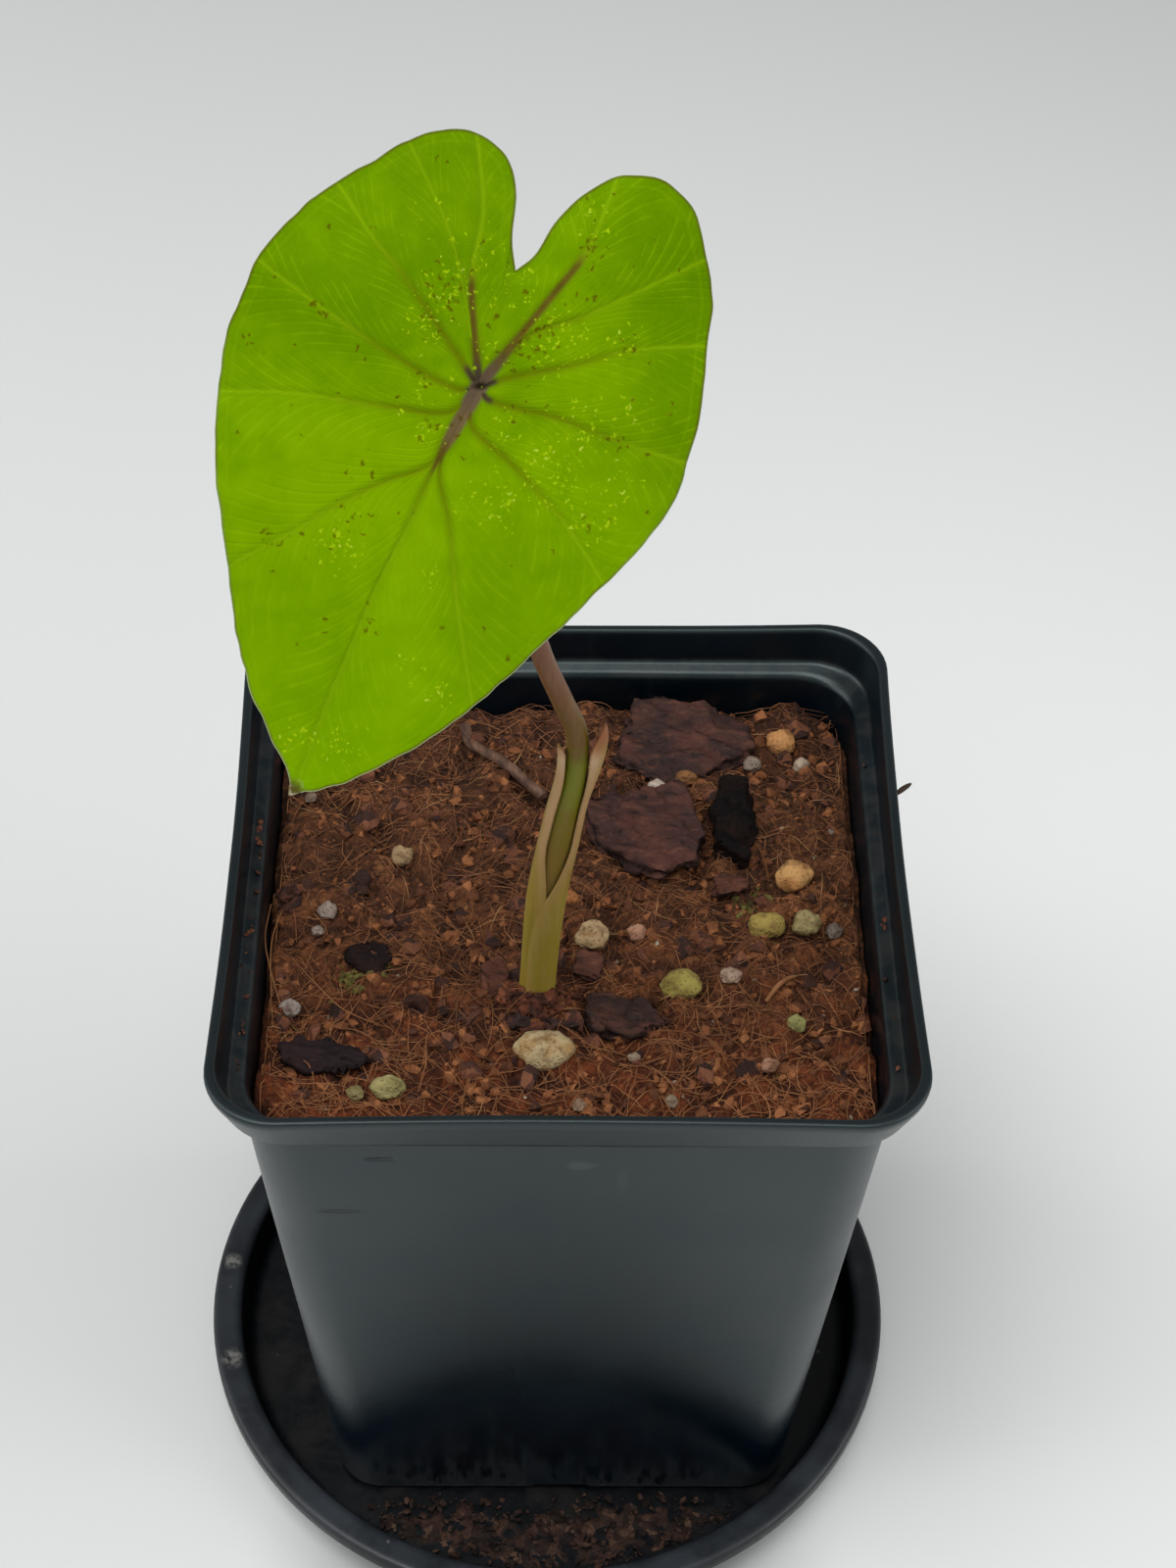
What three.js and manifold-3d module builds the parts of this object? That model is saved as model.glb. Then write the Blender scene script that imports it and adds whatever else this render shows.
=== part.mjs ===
// Potted queen of phoenix elephant ear: one heart-shaped leaf on a sheathed stalk,
// rooted in coir mix in a square nursery pot that stands in a round saucer.
// Millimetres, +Z up. The origin is the middle of the saucer's underside, on the table.

import * as THREE from 'three';
import { mergeVertices } from 'three/addons/utils/BufferGeometryUtils.js';
import Module from 'manifold-3d';

const wasm = await Module();
wasm.setup();

// Clearance between pieces that touch
const GAP = 0.3;
const POCKET_GAP = 0.4;

// Saucer
const SAUCER_LIP_RADIUS = 51.4;
const SAUCER_LIP_HEIGHT = 8.0;
const SAUCER_LIP_WIDTH = 4.4;
const SAUCER_FLOOR = 1.6;
const SAUCER_FLOOR_RADIUS = 44.9;
const SAUCER_SKIRT = 2.4;
const SAUCER_WALL = 1.2;
const SAUCER_SIDES = 60;

// Square nursery pot
const POT_X = 2.0;
const POT_Y = 3.0;
const POT_BOTTOM = SAUCER_FLOOR + GAP;
const POT_RIM = 104.8;
const RIM_HALF = 45.0;
const RIM_CORNER = 9.6;
const RIM_BOW = 0.6;
const LIP_THICKNESS = 1.3;
const BAND_HALF = 43.2;
const BAND_CORNER = 8.6;
const BAND_HEIGHT = 6.8;
const BODY_TOP_HALF = 41.3;
const BODY_TOP_CORNER = 8.2;
const BODY_BOTTOM_HALF = 33.1;
const BODY_BOTTOM_CORNER = 10.5;
const POT_WALL = 1.1;
const LEDGE_DROP = 5.3;
const FOOT_HEIGHT = 1.2;
const FOOT_WIDTH = 2.4;
const BASE_THICKNESS = 1.3;
const DRAIN_RADIUS = 3.5;
const DRAIN_REACH = 19.0;

// Potting mix
const SOIL_LEVEL = POT_RIM - 10.0;
const SOIL_RINGS = 11;

// Leaf stalk: points of its middle line, from the corm to the blade
const STALK_POINTS = [
  [-3.0, -13.0, 83.0],
  [-2.4, -13.1, 90.0],
  [-2.0, -13.2, 96.3],
  [-0.8, -13.4, 115.0],
  [1.3, -13.8, 130.0],
  [2.6, -14.0, 138.4],
  [2.5, -14.3, 144.8],
  [0.9, -14.7, 150.0],
  [-1.8, -15.6, 159.0],
  [-4.1, -16.8, 172.0],
  [-6.3, -18.6, 187.0],
  [-8.3, -21.0, 201.3],
];
const STALK_RADIUS_LOW = 1.55;
const STALK_RADIUS_HIGH = 1.2;
const STALK_HUB_RADIUS = 1.7;
const STALK_SIDES = 10;
const STALK_STEPS = 32;

// Sheath round the lower stalk
const SHEATH_RADIUS = 2.6;
const SHEATH_FOOT_RADIUS = 2.9;
const SHEATH_WALL = 0.7;
const SHEATH_TOP = 143.5;
const SHEATH_TIP_RISE = 2.6;
const SHEATH_SPLIT = 129.5;
const SHEATH_SPLIT_WIDTH = 3.9;
const SHEATH_SIDES = 14;

// Corm and roots
const CORM_TOP = 82.6;
const CORM_HEIGHT = 17.0;
const CORM_RADIUS = 7.5;
const ROOTS = 7;
const ROOT_LENGTH = 10.0;
const ROOT_RADIUS = 1.1;

// Leaf blade: its hub, the way it faces and the way its tip points
const HUB = new THREE.Vector3(-8.3, -21.0, 201.4);
const BLADE_FACING = new THREE.Vector3(0.026, -0.767, 0.641);
const BLADE_TIP = new THREE.Vector3(-0.419, -0.591, -0.689);
const BLADE_THICKNESS = 0.7;
const BLADE_SAMPLES = 96;
const BLADE_RINGS = [0.07, 0.18, 0.32, 0.47, 0.62, 0.77, 0.9, 1.0];
// Edge of the blade seen square on, from the tip round the right side:
// distance from the hub towards the tip, then to the right
const BLADE_EDGE = [
  [46.5, 0.0],
  [43.3, 4.6],
  [38.5, 8.7],
  [33.3, 11.9],
  [28.0, 14.6],
  [20.9, 17.5],
  [14.5, 19.8],
  [7.3, 22.4],
  [1.7, 23.4],
  [-2.1, 22.9],
  [-6.4, 22.1],
  [-13.4, 19.7],
  [-18.2, 18.2],
  [-22.3, 15.6],
  [-25.7, 12.5],
  [-27.1, 8.7],
  [-26.2, 4.6],
  [-22.7, 1.6],
  [-18.5, 0.0],
  [-14.6, -0.5],
  [-12.4, -1.6],
  [-15.0, -3.2],
  [-19.8, -5.0],
  [-22.3, -7.1],
  [-23.3, -9.9],
  [-22.6, -13.3],
  [-19.8, -16.8],
  [-15.1, -20.2],
  [-10.8, -23.2],
  [-5.9, -25.0],
  [-1.4, -25.9],
  [3.7, -25.9],
  [8.8, -25.1],
  [14.8, -23.0],
  [20.2, -20.4],
  [26.5, -16.6],
  [31.4, -13.5],
  [37.2, -9.7],
  [41.2, -5.6],
  [44.4, -1.7],
];
// Ribs under the blade, from the hub: end point, depth at the hub
const BLADE_RIBS = [
  { end: [46.0, 0.0], depth: 0.9 },
  { end: [-23.5, 4.2], depth: 0.7 },
  { end: [-22.0, -10.0], depth: 0.7 },
];
const RIB_WIDTH = 0.9;

// Looks that several pieces share
const PLASTIC = { color: 0x2c3031, roughness: 0.62 };
const BARK_ROUGHNESS = 0.95;

// Grains in the mix: place, half sizes and colour
const GRAINS = [
  ['pumice_cream', -0.9, -22.4, 3.7, 2.8, 2.4, 0xe3cfa0],
  ['perlite_by_stem', 5.4, -2.9, 2.3, 2.1, 1.9, 0xd9cfb0],
  ['pumice_orange_small', 2.4, 2.9, 1.2, 1.1, 1.0, 0xc88a55],
  ['perlite_pink', 11.3, -2.0, 1.4, 1.2, 1.1, 0xdcc5b8],
  ['pumice_olive_front', 17.0, -11.6, 2.8, 2.5, 2.1, 0xb5aa5c],
  ['perlite_right', 23.3, -10.6, 1.4, 1.3, 1.2, 0xd8cdc0],
  ['perlite_pale_green', 31.6, -17.6, 1.4, 1.3, 1.1, 0xc4cca0],
  ['pumice_orange', 32.7, 7.6, 2.5, 2.3, 2.2, 0xd6ab76],
  ['pumice_olive_a', 28.6, -0.8, 2.4, 2.1, 1.7, 0xb0a055],
  ['pumice_olive_b', 33.8, -1.2, 2.0, 1.9, 1.6, 0xb8ab66],
  ['perlite_grey', 37.6, -1.6, 1.2, 1.2, 1.1, 0xa79f98],
  ['pumice_corner', 32.4, 34.1, 2.2, 2.0, 1.9, 0xcf9a66],
  ['perlite_corner', 35.0, 30.0, 1.4, 1.2, 1.2, 0xd8cfc4],
  ['perlite_corner_grey', 28.0, 29.6, 1.4, 1.2, 1.1, 0xa9a19a],
  ['perlite_by_bark', 14.6, 25.4, 1.3, 1.1, 1.1, 0xe2ddd2],
  ['pumice_by_bark', 18.6, 25.6, 1.6, 1.2, 1.2, 0xa7713f],
  ['pumice_tan', -20.4, 11.4, 1.6, 1.5, 1.3, 0xc3a57c],
  ['perlite_left', -29.9, 1.0, 1.4, 1.2, 1.1, 0xcbc4ba],
  ['perlite_left_small', -31.0, -2.8, 0.9, 0.8, 0.8, 0xcfc8be],
  ['perlite_left_front', -34.0, -14.6, 1.4, 1.3, 1.2, 0xc9c6c4],
  ['pumice_left_front', -20.8, -29.1, 2.2, 1.8, 1.6, 0xc5be82],
  ['pumice_left_small', -24.7, -31.0, 1.2, 1.1, 1.0, 0xb9b27c],
  ['perlite_front_right', 27.8, -24.9, 1.3, 1.1, 1.0, 0xc99d86],
  ['perlite_dot_a', 10.6, -23.3, 0.9, 0.8, 0.8, 0xc7bdb0],
  ['perlite_dot_b', 15.1, -29.7, 0.9, 0.9, 0.8, 0xc7bdb0],
  ['perlite_dot_c', 3.3, -32.0, 0.9, 0.9, 0.8, 0xc0ae9c],
  ['perlite_dot_d', -33.5, 23.3, 0.9, 0.8, 0.8, 0xb6aca2],
];

// Grains smaller than this have twenty faces only
const FINE_GRAIN = 1.45;

// Bark chips in the mix: place, half sizes, turn and tilt in degrees, and colour
const CHIPS = [
  ['bark_plate_back', 16.4, 34.4, 9.2, 5.6, 1.8, -16, 8, 0x4b2f27],
  ['bark_plate_middle', 13.4, 15.6, 8.6, 7.6, 1.7, 12, -6, 0x452a23],
  ['bark_black', 25.6, 17.0, 2.7, 8.2, 1.9, -4, 4, 0x1f1a19],
  ['bark_red_small', 24.4, 6.4, 3.2, 1.7, 0.9, 8, 10, 0x5c3022],
  ['bark_by_stem_back', 5.0, -8.1, 3.3, 2.1, 1.1, -25, 12, 0x6a3a28],
  ['bark_by_stem_right', 9.3, -16.6, 4.8, 3.6, 1.3, -20, -8, 0x432720],
  ['bark_by_stem_front', -1.2, -17.9, 4.3, 1.0, 0.9, -3, 14, 0x3d231c],
  ['bark_by_stem_left', -7.0, -11.8, 2.3, 2.9, 1.0, 20, 10, 0x6b3b26],
  ['bark_purple', -30.0, -25.0, 5.4, 3.2, 1.1, -12, -5, 0x3c2b2c],
  ['bark_dark_small', -23.7, -6.2, 3.0, 2.2, 1.0, -25, 8, 0x33231f],
];

// Kinked twig lying on the mix
const TWIG_ROUTE = [[-12.4, 37.4], [-11.6, 34.0], [-6.6, 29.0], [-1.2, 23.6]];
const TWIG_RADIUS = 0.8;
const TWIG_SINK = 0.25;

// Mix that has washed out on to the saucer, in front of the pot
const SPILL_HALF_LENGTH = 27.0;
const SPILL_REACH = 44.0;
const SPILL_BACK = -31.1;
const SPILL_NOTCH = 4.6;

const smoothstep = THREE.MathUtils.smoothstep;
const lerp = THREE.MathUtils.lerp;
const radians = THREE.MathUtils.degToRad;

// A repeatable random number from 0 to 1 for each whole number
function scatter(seed) {
  const x = Math.sin(seed * 12.9898 + 4.137) * 43758.5453;
  return x - Math.floor(x);
}

// Closed skin over a row of rings with equal numbers of points, fanned shut at both ends.
// Rings from flipFrom on are split along the other diagonal.
function loft(rings, flipFrom = Infinity) {
  const count = rings[0].length;
  const points = rings.flat();
  const index = [];
  for (let j = 0; j + 1 < rings.length; j += 1) {
    for (let i = 0; i < count; i += 1) {
      const next = (i + 1) % count;
      const a = j * count + i;
      const b = j * count + next;
      const c = a - i + next + count;
      const d = a + count;
      if (j < flipFrom) {
        index.push(a, b, c, a, c, d);
      } else {
        index.push(a, b, d, b, c, d);
      }
    }
  }
  const first = rings[0];
  const last = rings[rings.length - 1];
  const start = points.push(middle(first)) - 1;
  const end = points.push(middle(last)) - 1;
  const top = (rings.length - 1) * count;
  for (let i = 0; i < count; i += 1) {
    const next = (i + 1) % count;
    index.push(start, next, i);
    index.push(end, top + i, top + next);
  }
  const geometry = new THREE.BufferGeometry().setFromPoints(points);
  geometry.setIndex(index);
  return geometry;
}

function middle(ring) {
  const sum = new THREE.Vector3();
  ring.forEach((point) => sum.add(point));
  return sum.divideScalar(ring.length);
}

// Positions only, shared corners merged and empty triangles dropped
function weld(geometry) {
  const bare = new THREE.BufferGeometry();
  bare.setAttribute('position', geometry.getAttribute('position').clone());
  if (geometry.index) {
    bare.setIndex(geometry.index.clone());
  }
  const merged = mergeVertices(bare, 1e-3);
  const kept = [];
  const { array } = merged.index;
  for (let k = 0; k < array.length; k += 3) {
    const [a, b, c] = [array[k], array[k + 1], array[k + 2]];
    if (a !== b && b !== c && c !== a) {
      kept.push(a, b, c);
    }
  }
  merged.setIndex(kept);
  return merged;
}

function solid(geometry) {
  const welded = weld(geometry);
  return new wasm.Manifold(new wasm.Mesh({
    numProp: 3,
    vertProperties: Float32Array.from(welded.getAttribute('position').array),
    triVerts: Uint32Array.from(welded.index.array),
  }));
}

// The largest piece of a solid, as a geometry
function geometryOf(body) {
  const pieces = body.decompose();
  pieces.sort((a, b) => b.volume() - a.volume());
  const mesh = pieces[0].getMesh();
  const geometry = new THREE.BufferGeometry();
  geometry.setAttribute('position', new THREE.BufferAttribute(mesh.vertProperties, 3));
  geometry.setIndex(new THREE.BufferAttribute(mesh.triVerts, 1));
  return geometry;
}

// Ring of a square with round corners, round the pot's middle
function squareRing(half, corner, z, bow = 0, perSide = 4, perCorner = 5) {
  const ring = [];
  const flat = half - corner;
  for (let side = 0; side < 4; side += 1) {
    const cos = Math.cos((side * Math.PI) / 2);
    const sin = Math.sin((side * Math.PI) / 2);
    const put = (out, along) => ring.push(new THREE.Vector3(
      POT_X + cos * out - sin * along,
      POT_Y + sin * out + cos * along,
      z,
    ));
    for (let k = 0; k <= perSide; k += 1) {
      const t = (2 * k) / perSide - 1;
      put(half - bow * (1 - t * t), flat * t);
    }
    for (let k = 1; k < perCorner; k += 1) {
      const turn = (k / perCorner) * (Math.PI / 2);
      put(flat + corner * Math.cos(turn), flat + corner * Math.sin(turn));
    }
  }
  return ring;
}

function buildSaucer() {
  const outer = SAUCER_LIP_RADIUS;
  const inner = outer - SAUCER_LIP_WIDTH;
  const top = SAUCER_LIP_HEIGHT;
  const under = top - SAUCER_SKIRT;
  const profile = [
    [0, 0],
    [SAUCER_FLOOR_RADIUS - 0.6, 0],
    [SAUCER_FLOOR_RADIUS + 1.2, 0.7],
    [SAUCER_FLOOR_RADIUS + 2.4, 2.2],
    [inner + SAUCER_WALL - 0.3, under],
    [inner + SAUCER_WALL + 0.2, top - 1.5],
    [outer - 1.5, top - 1.4],
    [outer - 1.2, under],
    [outer - 0.1, under],
    [outer, top - 0.9],
    [outer - 0.35, top - 0.25],
    [outer - 1.1, top],
    [inner + 0.9, top],
    [inner + 0.25, top - 0.25],
    [inner, top - 0.9],
    [SAUCER_FLOOR_RADIUS + 1.55, SAUCER_FLOOR + 1.5],
    [SAUCER_FLOOR_RADIUS + 1.1, SAUCER_FLOOR + 0.45],
    [SAUCER_FLOOR_RADIUS, SAUCER_FLOOR],
    [0, SAUCER_FLOOR],
  ];
  const points = profile.map(([r, z]) => new THREE.Vector2(r, z));
  const geometry = new THREE.LatheGeometry(points, SAUCER_SIDES);
  geometry.rotateX(Math.PI / 2);
  return weld(geometry);
}

// Half width and corner radius of the pot's body at a height
function bodyHalf(z) {
  const t = (z - POT_BOTTOM) / (POT_RIM - BAND_HEIGHT - POT_BOTTOM);
  return lerp(BODY_BOTTOM_HALF, BODY_TOP_HALF, t);
}

function bodyCorner(z) {
  const t = (z - POT_BOTTOM) / (POT_RIM - BAND_HEIGHT - POT_BOTTOM);
  return lerp(BODY_BOTTOM_CORNER, BODY_TOP_CORNER, t);
}

function cylinderAt(x, y, low, high, radius, sides) {
  const geometry = new THREE.CylinderGeometry(radius, radius, high - low, sides);
  geometry.rotateX(Math.PI / 2);
  geometry.translate(x, y, (low + high) / 2);
  return solid(geometry);
}

function buildPot() {
  const plate = POT_BOTTOM + FOOT_HEIGHT;
  const floor = plate + BASE_THICKNESS;
  const bandBottom = POT_RIM - BAND_HEIGHT;
  const ledge = POT_RIM - LEDGE_DROP;
  const innerTop = bandBottom - 0.4;
  const footInner = BODY_BOTTOM_HALF - FOOT_WIDTH;
  const rings = [
    squareRing(footInner * 0.5, 4, plate),
    squareRing(footInner - 0.3, BODY_BOTTOM_CORNER - FOOT_WIDTH, plate),
    squareRing(footInner, BODY_BOTTOM_CORNER - FOOT_WIDTH, POT_BOTTOM),
    squareRing(BODY_BOTTOM_HALF - 1.2, BODY_BOTTOM_CORNER - 1.2, POT_BOTTOM),
    squareRing(BODY_BOTTOM_HALF - 0.35, BODY_BOTTOM_CORNER - 0.3, POT_BOTTOM + 0.45),
    squareRing(bodyHalf(POT_BOTTOM + 1.4), BODY_BOTTOM_CORNER, POT_BOTTOM + 1.4),
    squareRing(bodyHalf(bandBottom), bodyCorner(bandBottom), bandBottom),
    squareRing(BAND_HALF - 0.5, BAND_CORNER - 0.2, bandBottom + 0.2),
    squareRing(BAND_HALF, BAND_CORNER, bandBottom + 0.8),
    squareRing(RIM_HALF - 0.3, RIM_CORNER - 0.1, POT_RIM - 1.6, RIM_BOW * 0.9),
    squareRing(RIM_HALF, RIM_CORNER, POT_RIM - 0.6, RIM_BOW),
    squareRing(RIM_HALF - 0.35, RIM_CORNER - 0.35, POT_RIM, RIM_BOW),
    squareRing(RIM_HALF - 0.9, RIM_CORNER - 0.9, POT_RIM, RIM_BOW),
    squareRing(RIM_HALF - LIP_THICKNESS, RIM_CORNER - 1.2, POT_RIM - 0.6, RIM_BOW),
    squareRing(BAND_HALF - 0.5, BAND_CORNER - 1.1, ledge + 0.4, RIM_BOW * 0.3),
    squareRing(BAND_HALF - 1.0, BAND_CORNER - 1.3, ledge),
    squareRing(BODY_TOP_HALF - POT_WALL + 0.5, BODY_TOP_CORNER - 0.8, ledge - 1.3),
    squareRing(bodyHalf(innerTop) - POT_WALL, bodyCorner(innerTop) - POT_WALL, innerTop),
    squareRing(bodyHalf(floor + 1.2) - POT_WALL, BODY_BOTTOM_CORNER - POT_WALL, floor + 1.2),
    squareRing(BODY_BOTTOM_HALF - POT_WALL - 1.2, BODY_BOTTOM_CORNER - 2, floor),
  ];
  let pot = solid(loft(rings));
  const low = POT_BOTTOM - 1;
  const high = floor + 1;
  pot = pot.subtract(cylinderAt(POT_X, POT_Y, low, high, DRAIN_RADIUS, 20));
  for (let k = 0; k < 4; k += 1) {
    const turn = Math.PI / 4 + (k * Math.PI) / 2;
    const x = POT_X + DRAIN_REACH * Math.SQRT2 * Math.cos(turn);
    const y = POT_Y + DRAIN_REACH * Math.SQRT2 * Math.sin(turn);
    pot = pot.subtract(cylinderAt(x, y, low, high, DRAIN_RADIUS, 20));
    const notch = new THREE.BoxGeometry(8, 10, FOOT_HEIGHT * 2);
    notch.translate(0, BODY_BOTTOM_HALF, POT_BOTTOM);
    notch.rotateZ((k * Math.PI) / 2);
    notch.translate(POT_X, POT_Y, 0);
    pot = pot.subtract(solid(notch));
  }
  return geometryOf(pot);
}

// Height of the mix: low waves, banked up in the near left corner and lower at the back
function soilHeight(x, y) {
  const px = x - POT_X;
  const py = y - POT_Y;
  const waves = 0.7 * Math.sin(0.19 * px + 1.3) * Math.cos(0.16 * py - 0.4)
    + 0.45 * Math.sin(0.41 * px - 0.33 * py + 0.7)
    + 0.3 * Math.sin(0.67 * px + 0.58 * py + 2.1);
  const corner = 1 - smoothstep(Math.hypot(px + 36, py + 36), 3, 20);
  const back = smoothstep(py, 15, 38);
  return SOIL_LEVEL + waves + 1.6 * corner - 0.9 * back;
}

function stalkCurve() {
  const points = STALK_POINTS.map(([x, y, z]) => new THREE.Vector3(x, y, z));
  return new THREE.CatmullRomCurve3(points, false, 'centripetal');
}

// Rings square to a curve, with a radius for each step
function tubeRings(curve, from, to, steps, sides, radiusAt) {
  const rings = [];
  const side = new THREE.Vector3(1, 0, 0);
  for (let k = 0; k <= steps; k += 1) {
    const t = lerp(from, to, k / steps);
    const centre = curve.getPointAt(t);
    const along = curve.getTangentAt(t);
    side.addScaledVector(along, -side.dot(along)).normalize();
    const up = new THREE.Vector3().crossVectors(along, side);
    const radius = radiusAt(t, centre);
    const ring = [];
    for (let i = 0; i < sides; i += 1) {
      const turn = (2 * Math.PI * i) / sides;
      ring.push(centre.clone()
        .addScaledVector(side, radius * Math.cos(turn))
        .addScaledVector(up, radius * Math.sin(turn)));
    }
    rings.push(ring);
  }
  return rings;
}

// Share of the stalk's length at which it passes a height
function stalkShareAt(curve, z) {
  let low = 0;
  let high = 1;
  for (let k = 0; k < 30; k += 1) {
    const t = (low + high) / 2;
    if (curve.getPointAt(t).z < z) {
      low = t;
    } else {
      high = t;
    }
  }
  return (low + high) / 2;
}

// The stalk, its upper end bevelled to lie along the underside of the blade
function buildStalk() {
  const curve = stalkCurve();
  const rings = tubeRings(curve, 0, 1, STALK_STEPS, STALK_SIDES, (t) => {
    const slim = lerp(STALK_RADIUS_LOW, STALK_RADIUS_HIGH, smoothstep(t, 0.3, 0.9));
    return lerp(slim, STALK_HUB_RADIUS, smoothstep(t, 0.95, 1));
  });
  const facing = bladeAxes().up;
  const seat = -(BLADE_THICKNESS + BLADE_RIBS[0].depth + GAP + 0.1);
  const along = curve.getTangentAt(1);
  rings[rings.length - 1].forEach((point) => {
    const rise = point.clone().sub(HUB).dot(facing) - seat;
    point.addScaledVector(along, -rise / along.dot(facing));
  });
  return loft(rings);
}

// Outside of the sheath; grown by an allowance it is also the hole for it in the mix
function sheathOuter(grow, topTrim) {
  const curve = stalkCurve();
  const end = stalkShareAt(curve, SHEATH_TOP);
  const rings = tubeRings(curve, 0, end, 12, SHEATH_SIDES, (t) => {
    const foot = 1 - smoothstep(t, 0.02, 0.16);
    return lerp(SHEATH_RADIUS, SHEATH_FOOT_RADIUS, foot) + grow;
  });
  rings[0].forEach((point) => {
    point.z -= 3 * grow;
  });
  if (topTrim) {
    const last = rings[rings.length - 1];
    const centre = middle(last);
    last.forEach((point) => {
      const reach = (point.x - centre.x) / SHEATH_RADIUS;
      point.z += SHEATH_TIP_RISE * reach;
      point.x += 0.5 * Math.max(reach, 0);
    });
  }
  return solid(loft(rings));
}

function buildSheath() {
  const curve = stalkCurve();
  const end = stalkShareAt(curve, SHEATH_TOP + 8);
  const bore = tubeRings(curve, 0, end, 14, SHEATH_SIDES, (t, centre) => {
    const slim = STALK_RADIUS_LOW + GAP;
    const open = SHEATH_RADIUS - SHEATH_WALL;
    return lerp(slim, open + 0.1, smoothstep(centre.z, SHEATH_SPLIT - 12, SHEATH_TOP - 4));
  });
  bore[0].forEach((point) => {
    point.z -= 1;
  });
  const split = new THREE.Shape();
  const height = SHEATH_TOP + 8 - SHEATH_SPLIT;
  const width = (SHEATH_SPLIT_WIDTH * height) / (SHEATH_TOP - SHEATH_SPLIT);
  split.moveTo(0, 0);
  split.lineTo(width / 2, height);
  split.lineTo(-width / 2, height);
  split.closePath();
  const wedge = new THREE.ExtrudeGeometry(split, { depth: 8, bevelEnabled: false });
  const foot = curve.getPointAt(stalkShareAt(curve, SHEATH_SPLIT));
  wedge.rotateX(Math.PI / 2);
  wedge.translate(foot.x, foot.y, foot.z);
  return geometryOf(sheathOuter(0, true).subtract(solid(loft(bore))).subtract(solid(wedge)));
}

// Corm with its roots; grown by an allowance it is also their cavity in the mix
function cormBody(grow) {
  const [x, y] = STALK_POINTS[0];
  const profile = [[0, -CORM_HEIGHT - grow]];
  for (let k = 1; k < 8; k += 1) {
    const turn = (k / 8) * Math.PI;
    const radius = (CORM_RADIUS + grow) * Math.sin(turn) ** 0.8;
    const z = -CORM_HEIGHT / 2 - (CORM_HEIGHT / 2 + grow) * Math.cos(turn);
    profile.push([radius, z]);
  }
  profile.push([0, grow]);
  const lathe = new THREE.LatheGeometry(profile.map(([r, z]) => new THREE.Vector2(r, z)), 16);
  lathe.rotateX(Math.PI / 2);
  lathe.translate(x, y, CORM_TOP);
  let body = solid(lathe);
  for (let k = 0; k < ROOTS; k += 1) {
    const turn = (2 * Math.PI * (k + 0.4 * scatter(k))) / ROOTS;
    const reach = ROOT_LENGTH * lerp(0.75, 1, scatter(k + 20));
    const out = new THREE.Vector3(Math.cos(turn), Math.sin(turn), 0);
    const start = new THREE.Vector3(x, y, CORM_TOP - CORM_HEIGHT * 0.55);
    const route = new THREE.CatmullRomCurve3([
      start.clone().addScaledVector(out, CORM_RADIUS * 0.4),
      start.clone().addScaledVector(out, CORM_RADIUS + reach * 0.3).setZ(start.z - 1.5),
      start.clone().addScaledVector(out, CORM_RADIUS + reach * 0.7).setZ(start.z - 10),
      start.clone().addScaledVector(out, CORM_RADIUS + reach * 0.9).setZ(start.z - 22),
    ]);
    const root = tubeRings(route, 0, 1, 5, 6, (t) => lerp(ROOT_RADIUS, 0.5, t) + grow);
    const last = root[root.length - 1];
    last.forEach((point) => {
      point.z -= grow;
    });
    body = body.add(solid(loft(root)));
  }
  return body;
}

// Lumpy rounded grain, half sunk in the mix
function grainGeometry([, x, y, rx, ry, rz], order, grow) {
  const fine = rx > FINE_GRAIN;
  const geometry = weld(new THREE.IcosahedronGeometry(fine ? 1 : 1.1, fine ? 1 : 0));
  const position = geometry.getAttribute('position');
  const sit = soilHeight(x, y) + rz * 0.25;
  for (let k = 0; k < position.count; k += 1) {
    const bump = 1 + 0.24 * (scatter(order * 91 + k) - 0.5);
    position.setXYZ(
      k,
      x + position.getX(k) * bump * (rx + grow),
      y + position.getY(k) * bump * (ry + grow),
      sit + position.getZ(k) * bump * (rz + grow),
    );
  }
  return geometry;
}

// Broken flake of bark with an uneven outline, lying in the mix
function chipGeometry([, x, y, rx, ry, rz, turn, tilt], order, grow) {
  const corners = 11;
  const layers = [[0.8, -1], [0.97, -0.45], [1, 0.3], [0.86, 1]];
  const rings = layers.map(([spread, level], j) => {
    const ring = [];
    for (let i = 0; i < corners; i += 1) {
      const angle = (2 * Math.PI * i) / corners;
      const uneven = 1 - 0.26 * scatter(order * 57 + i) - 0.06 * scatter(order * 31 + i + j * 13);
      ring.push(new THREE.Vector3(
        Math.cos(angle) * (rx * uneven * spread + grow),
        Math.sin(angle) * (ry * uneven * spread + grow),
        level * rz * (1 - 0.2 * scatter(order * 17 + i)) + Math.sign(level) * grow,
      ));
    }
    return ring;
  });
  const geometry = loft(rings);
  geometry.rotateX(radians(tilt));
  geometry.rotateZ(radians(turn));
  geometry.translate(x, y, soilHeight(x, y) + rz * 0.3);
  return geometry;
}

function twigGeometry(grow) {
  const route = new THREE.CatmullRomCurve3(TWIG_ROUTE.map(([x, y]) => (
    new THREE.Vector3(x, y, soilHeight(x, y) + TWIG_RADIUS - TWIG_SINK)
  )), false, 'catmullrom', 0.2);
  const section = new THREE.Shape();
  section.absarc(0, 0, TWIG_RADIUS + grow, 0, 2 * Math.PI);
  const path = { steps: 14, curveSegments: 4, bevelEnabled: false, extrudePath: route };
  return weld(new THREE.ExtrudeGeometry(section, path));
}

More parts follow.
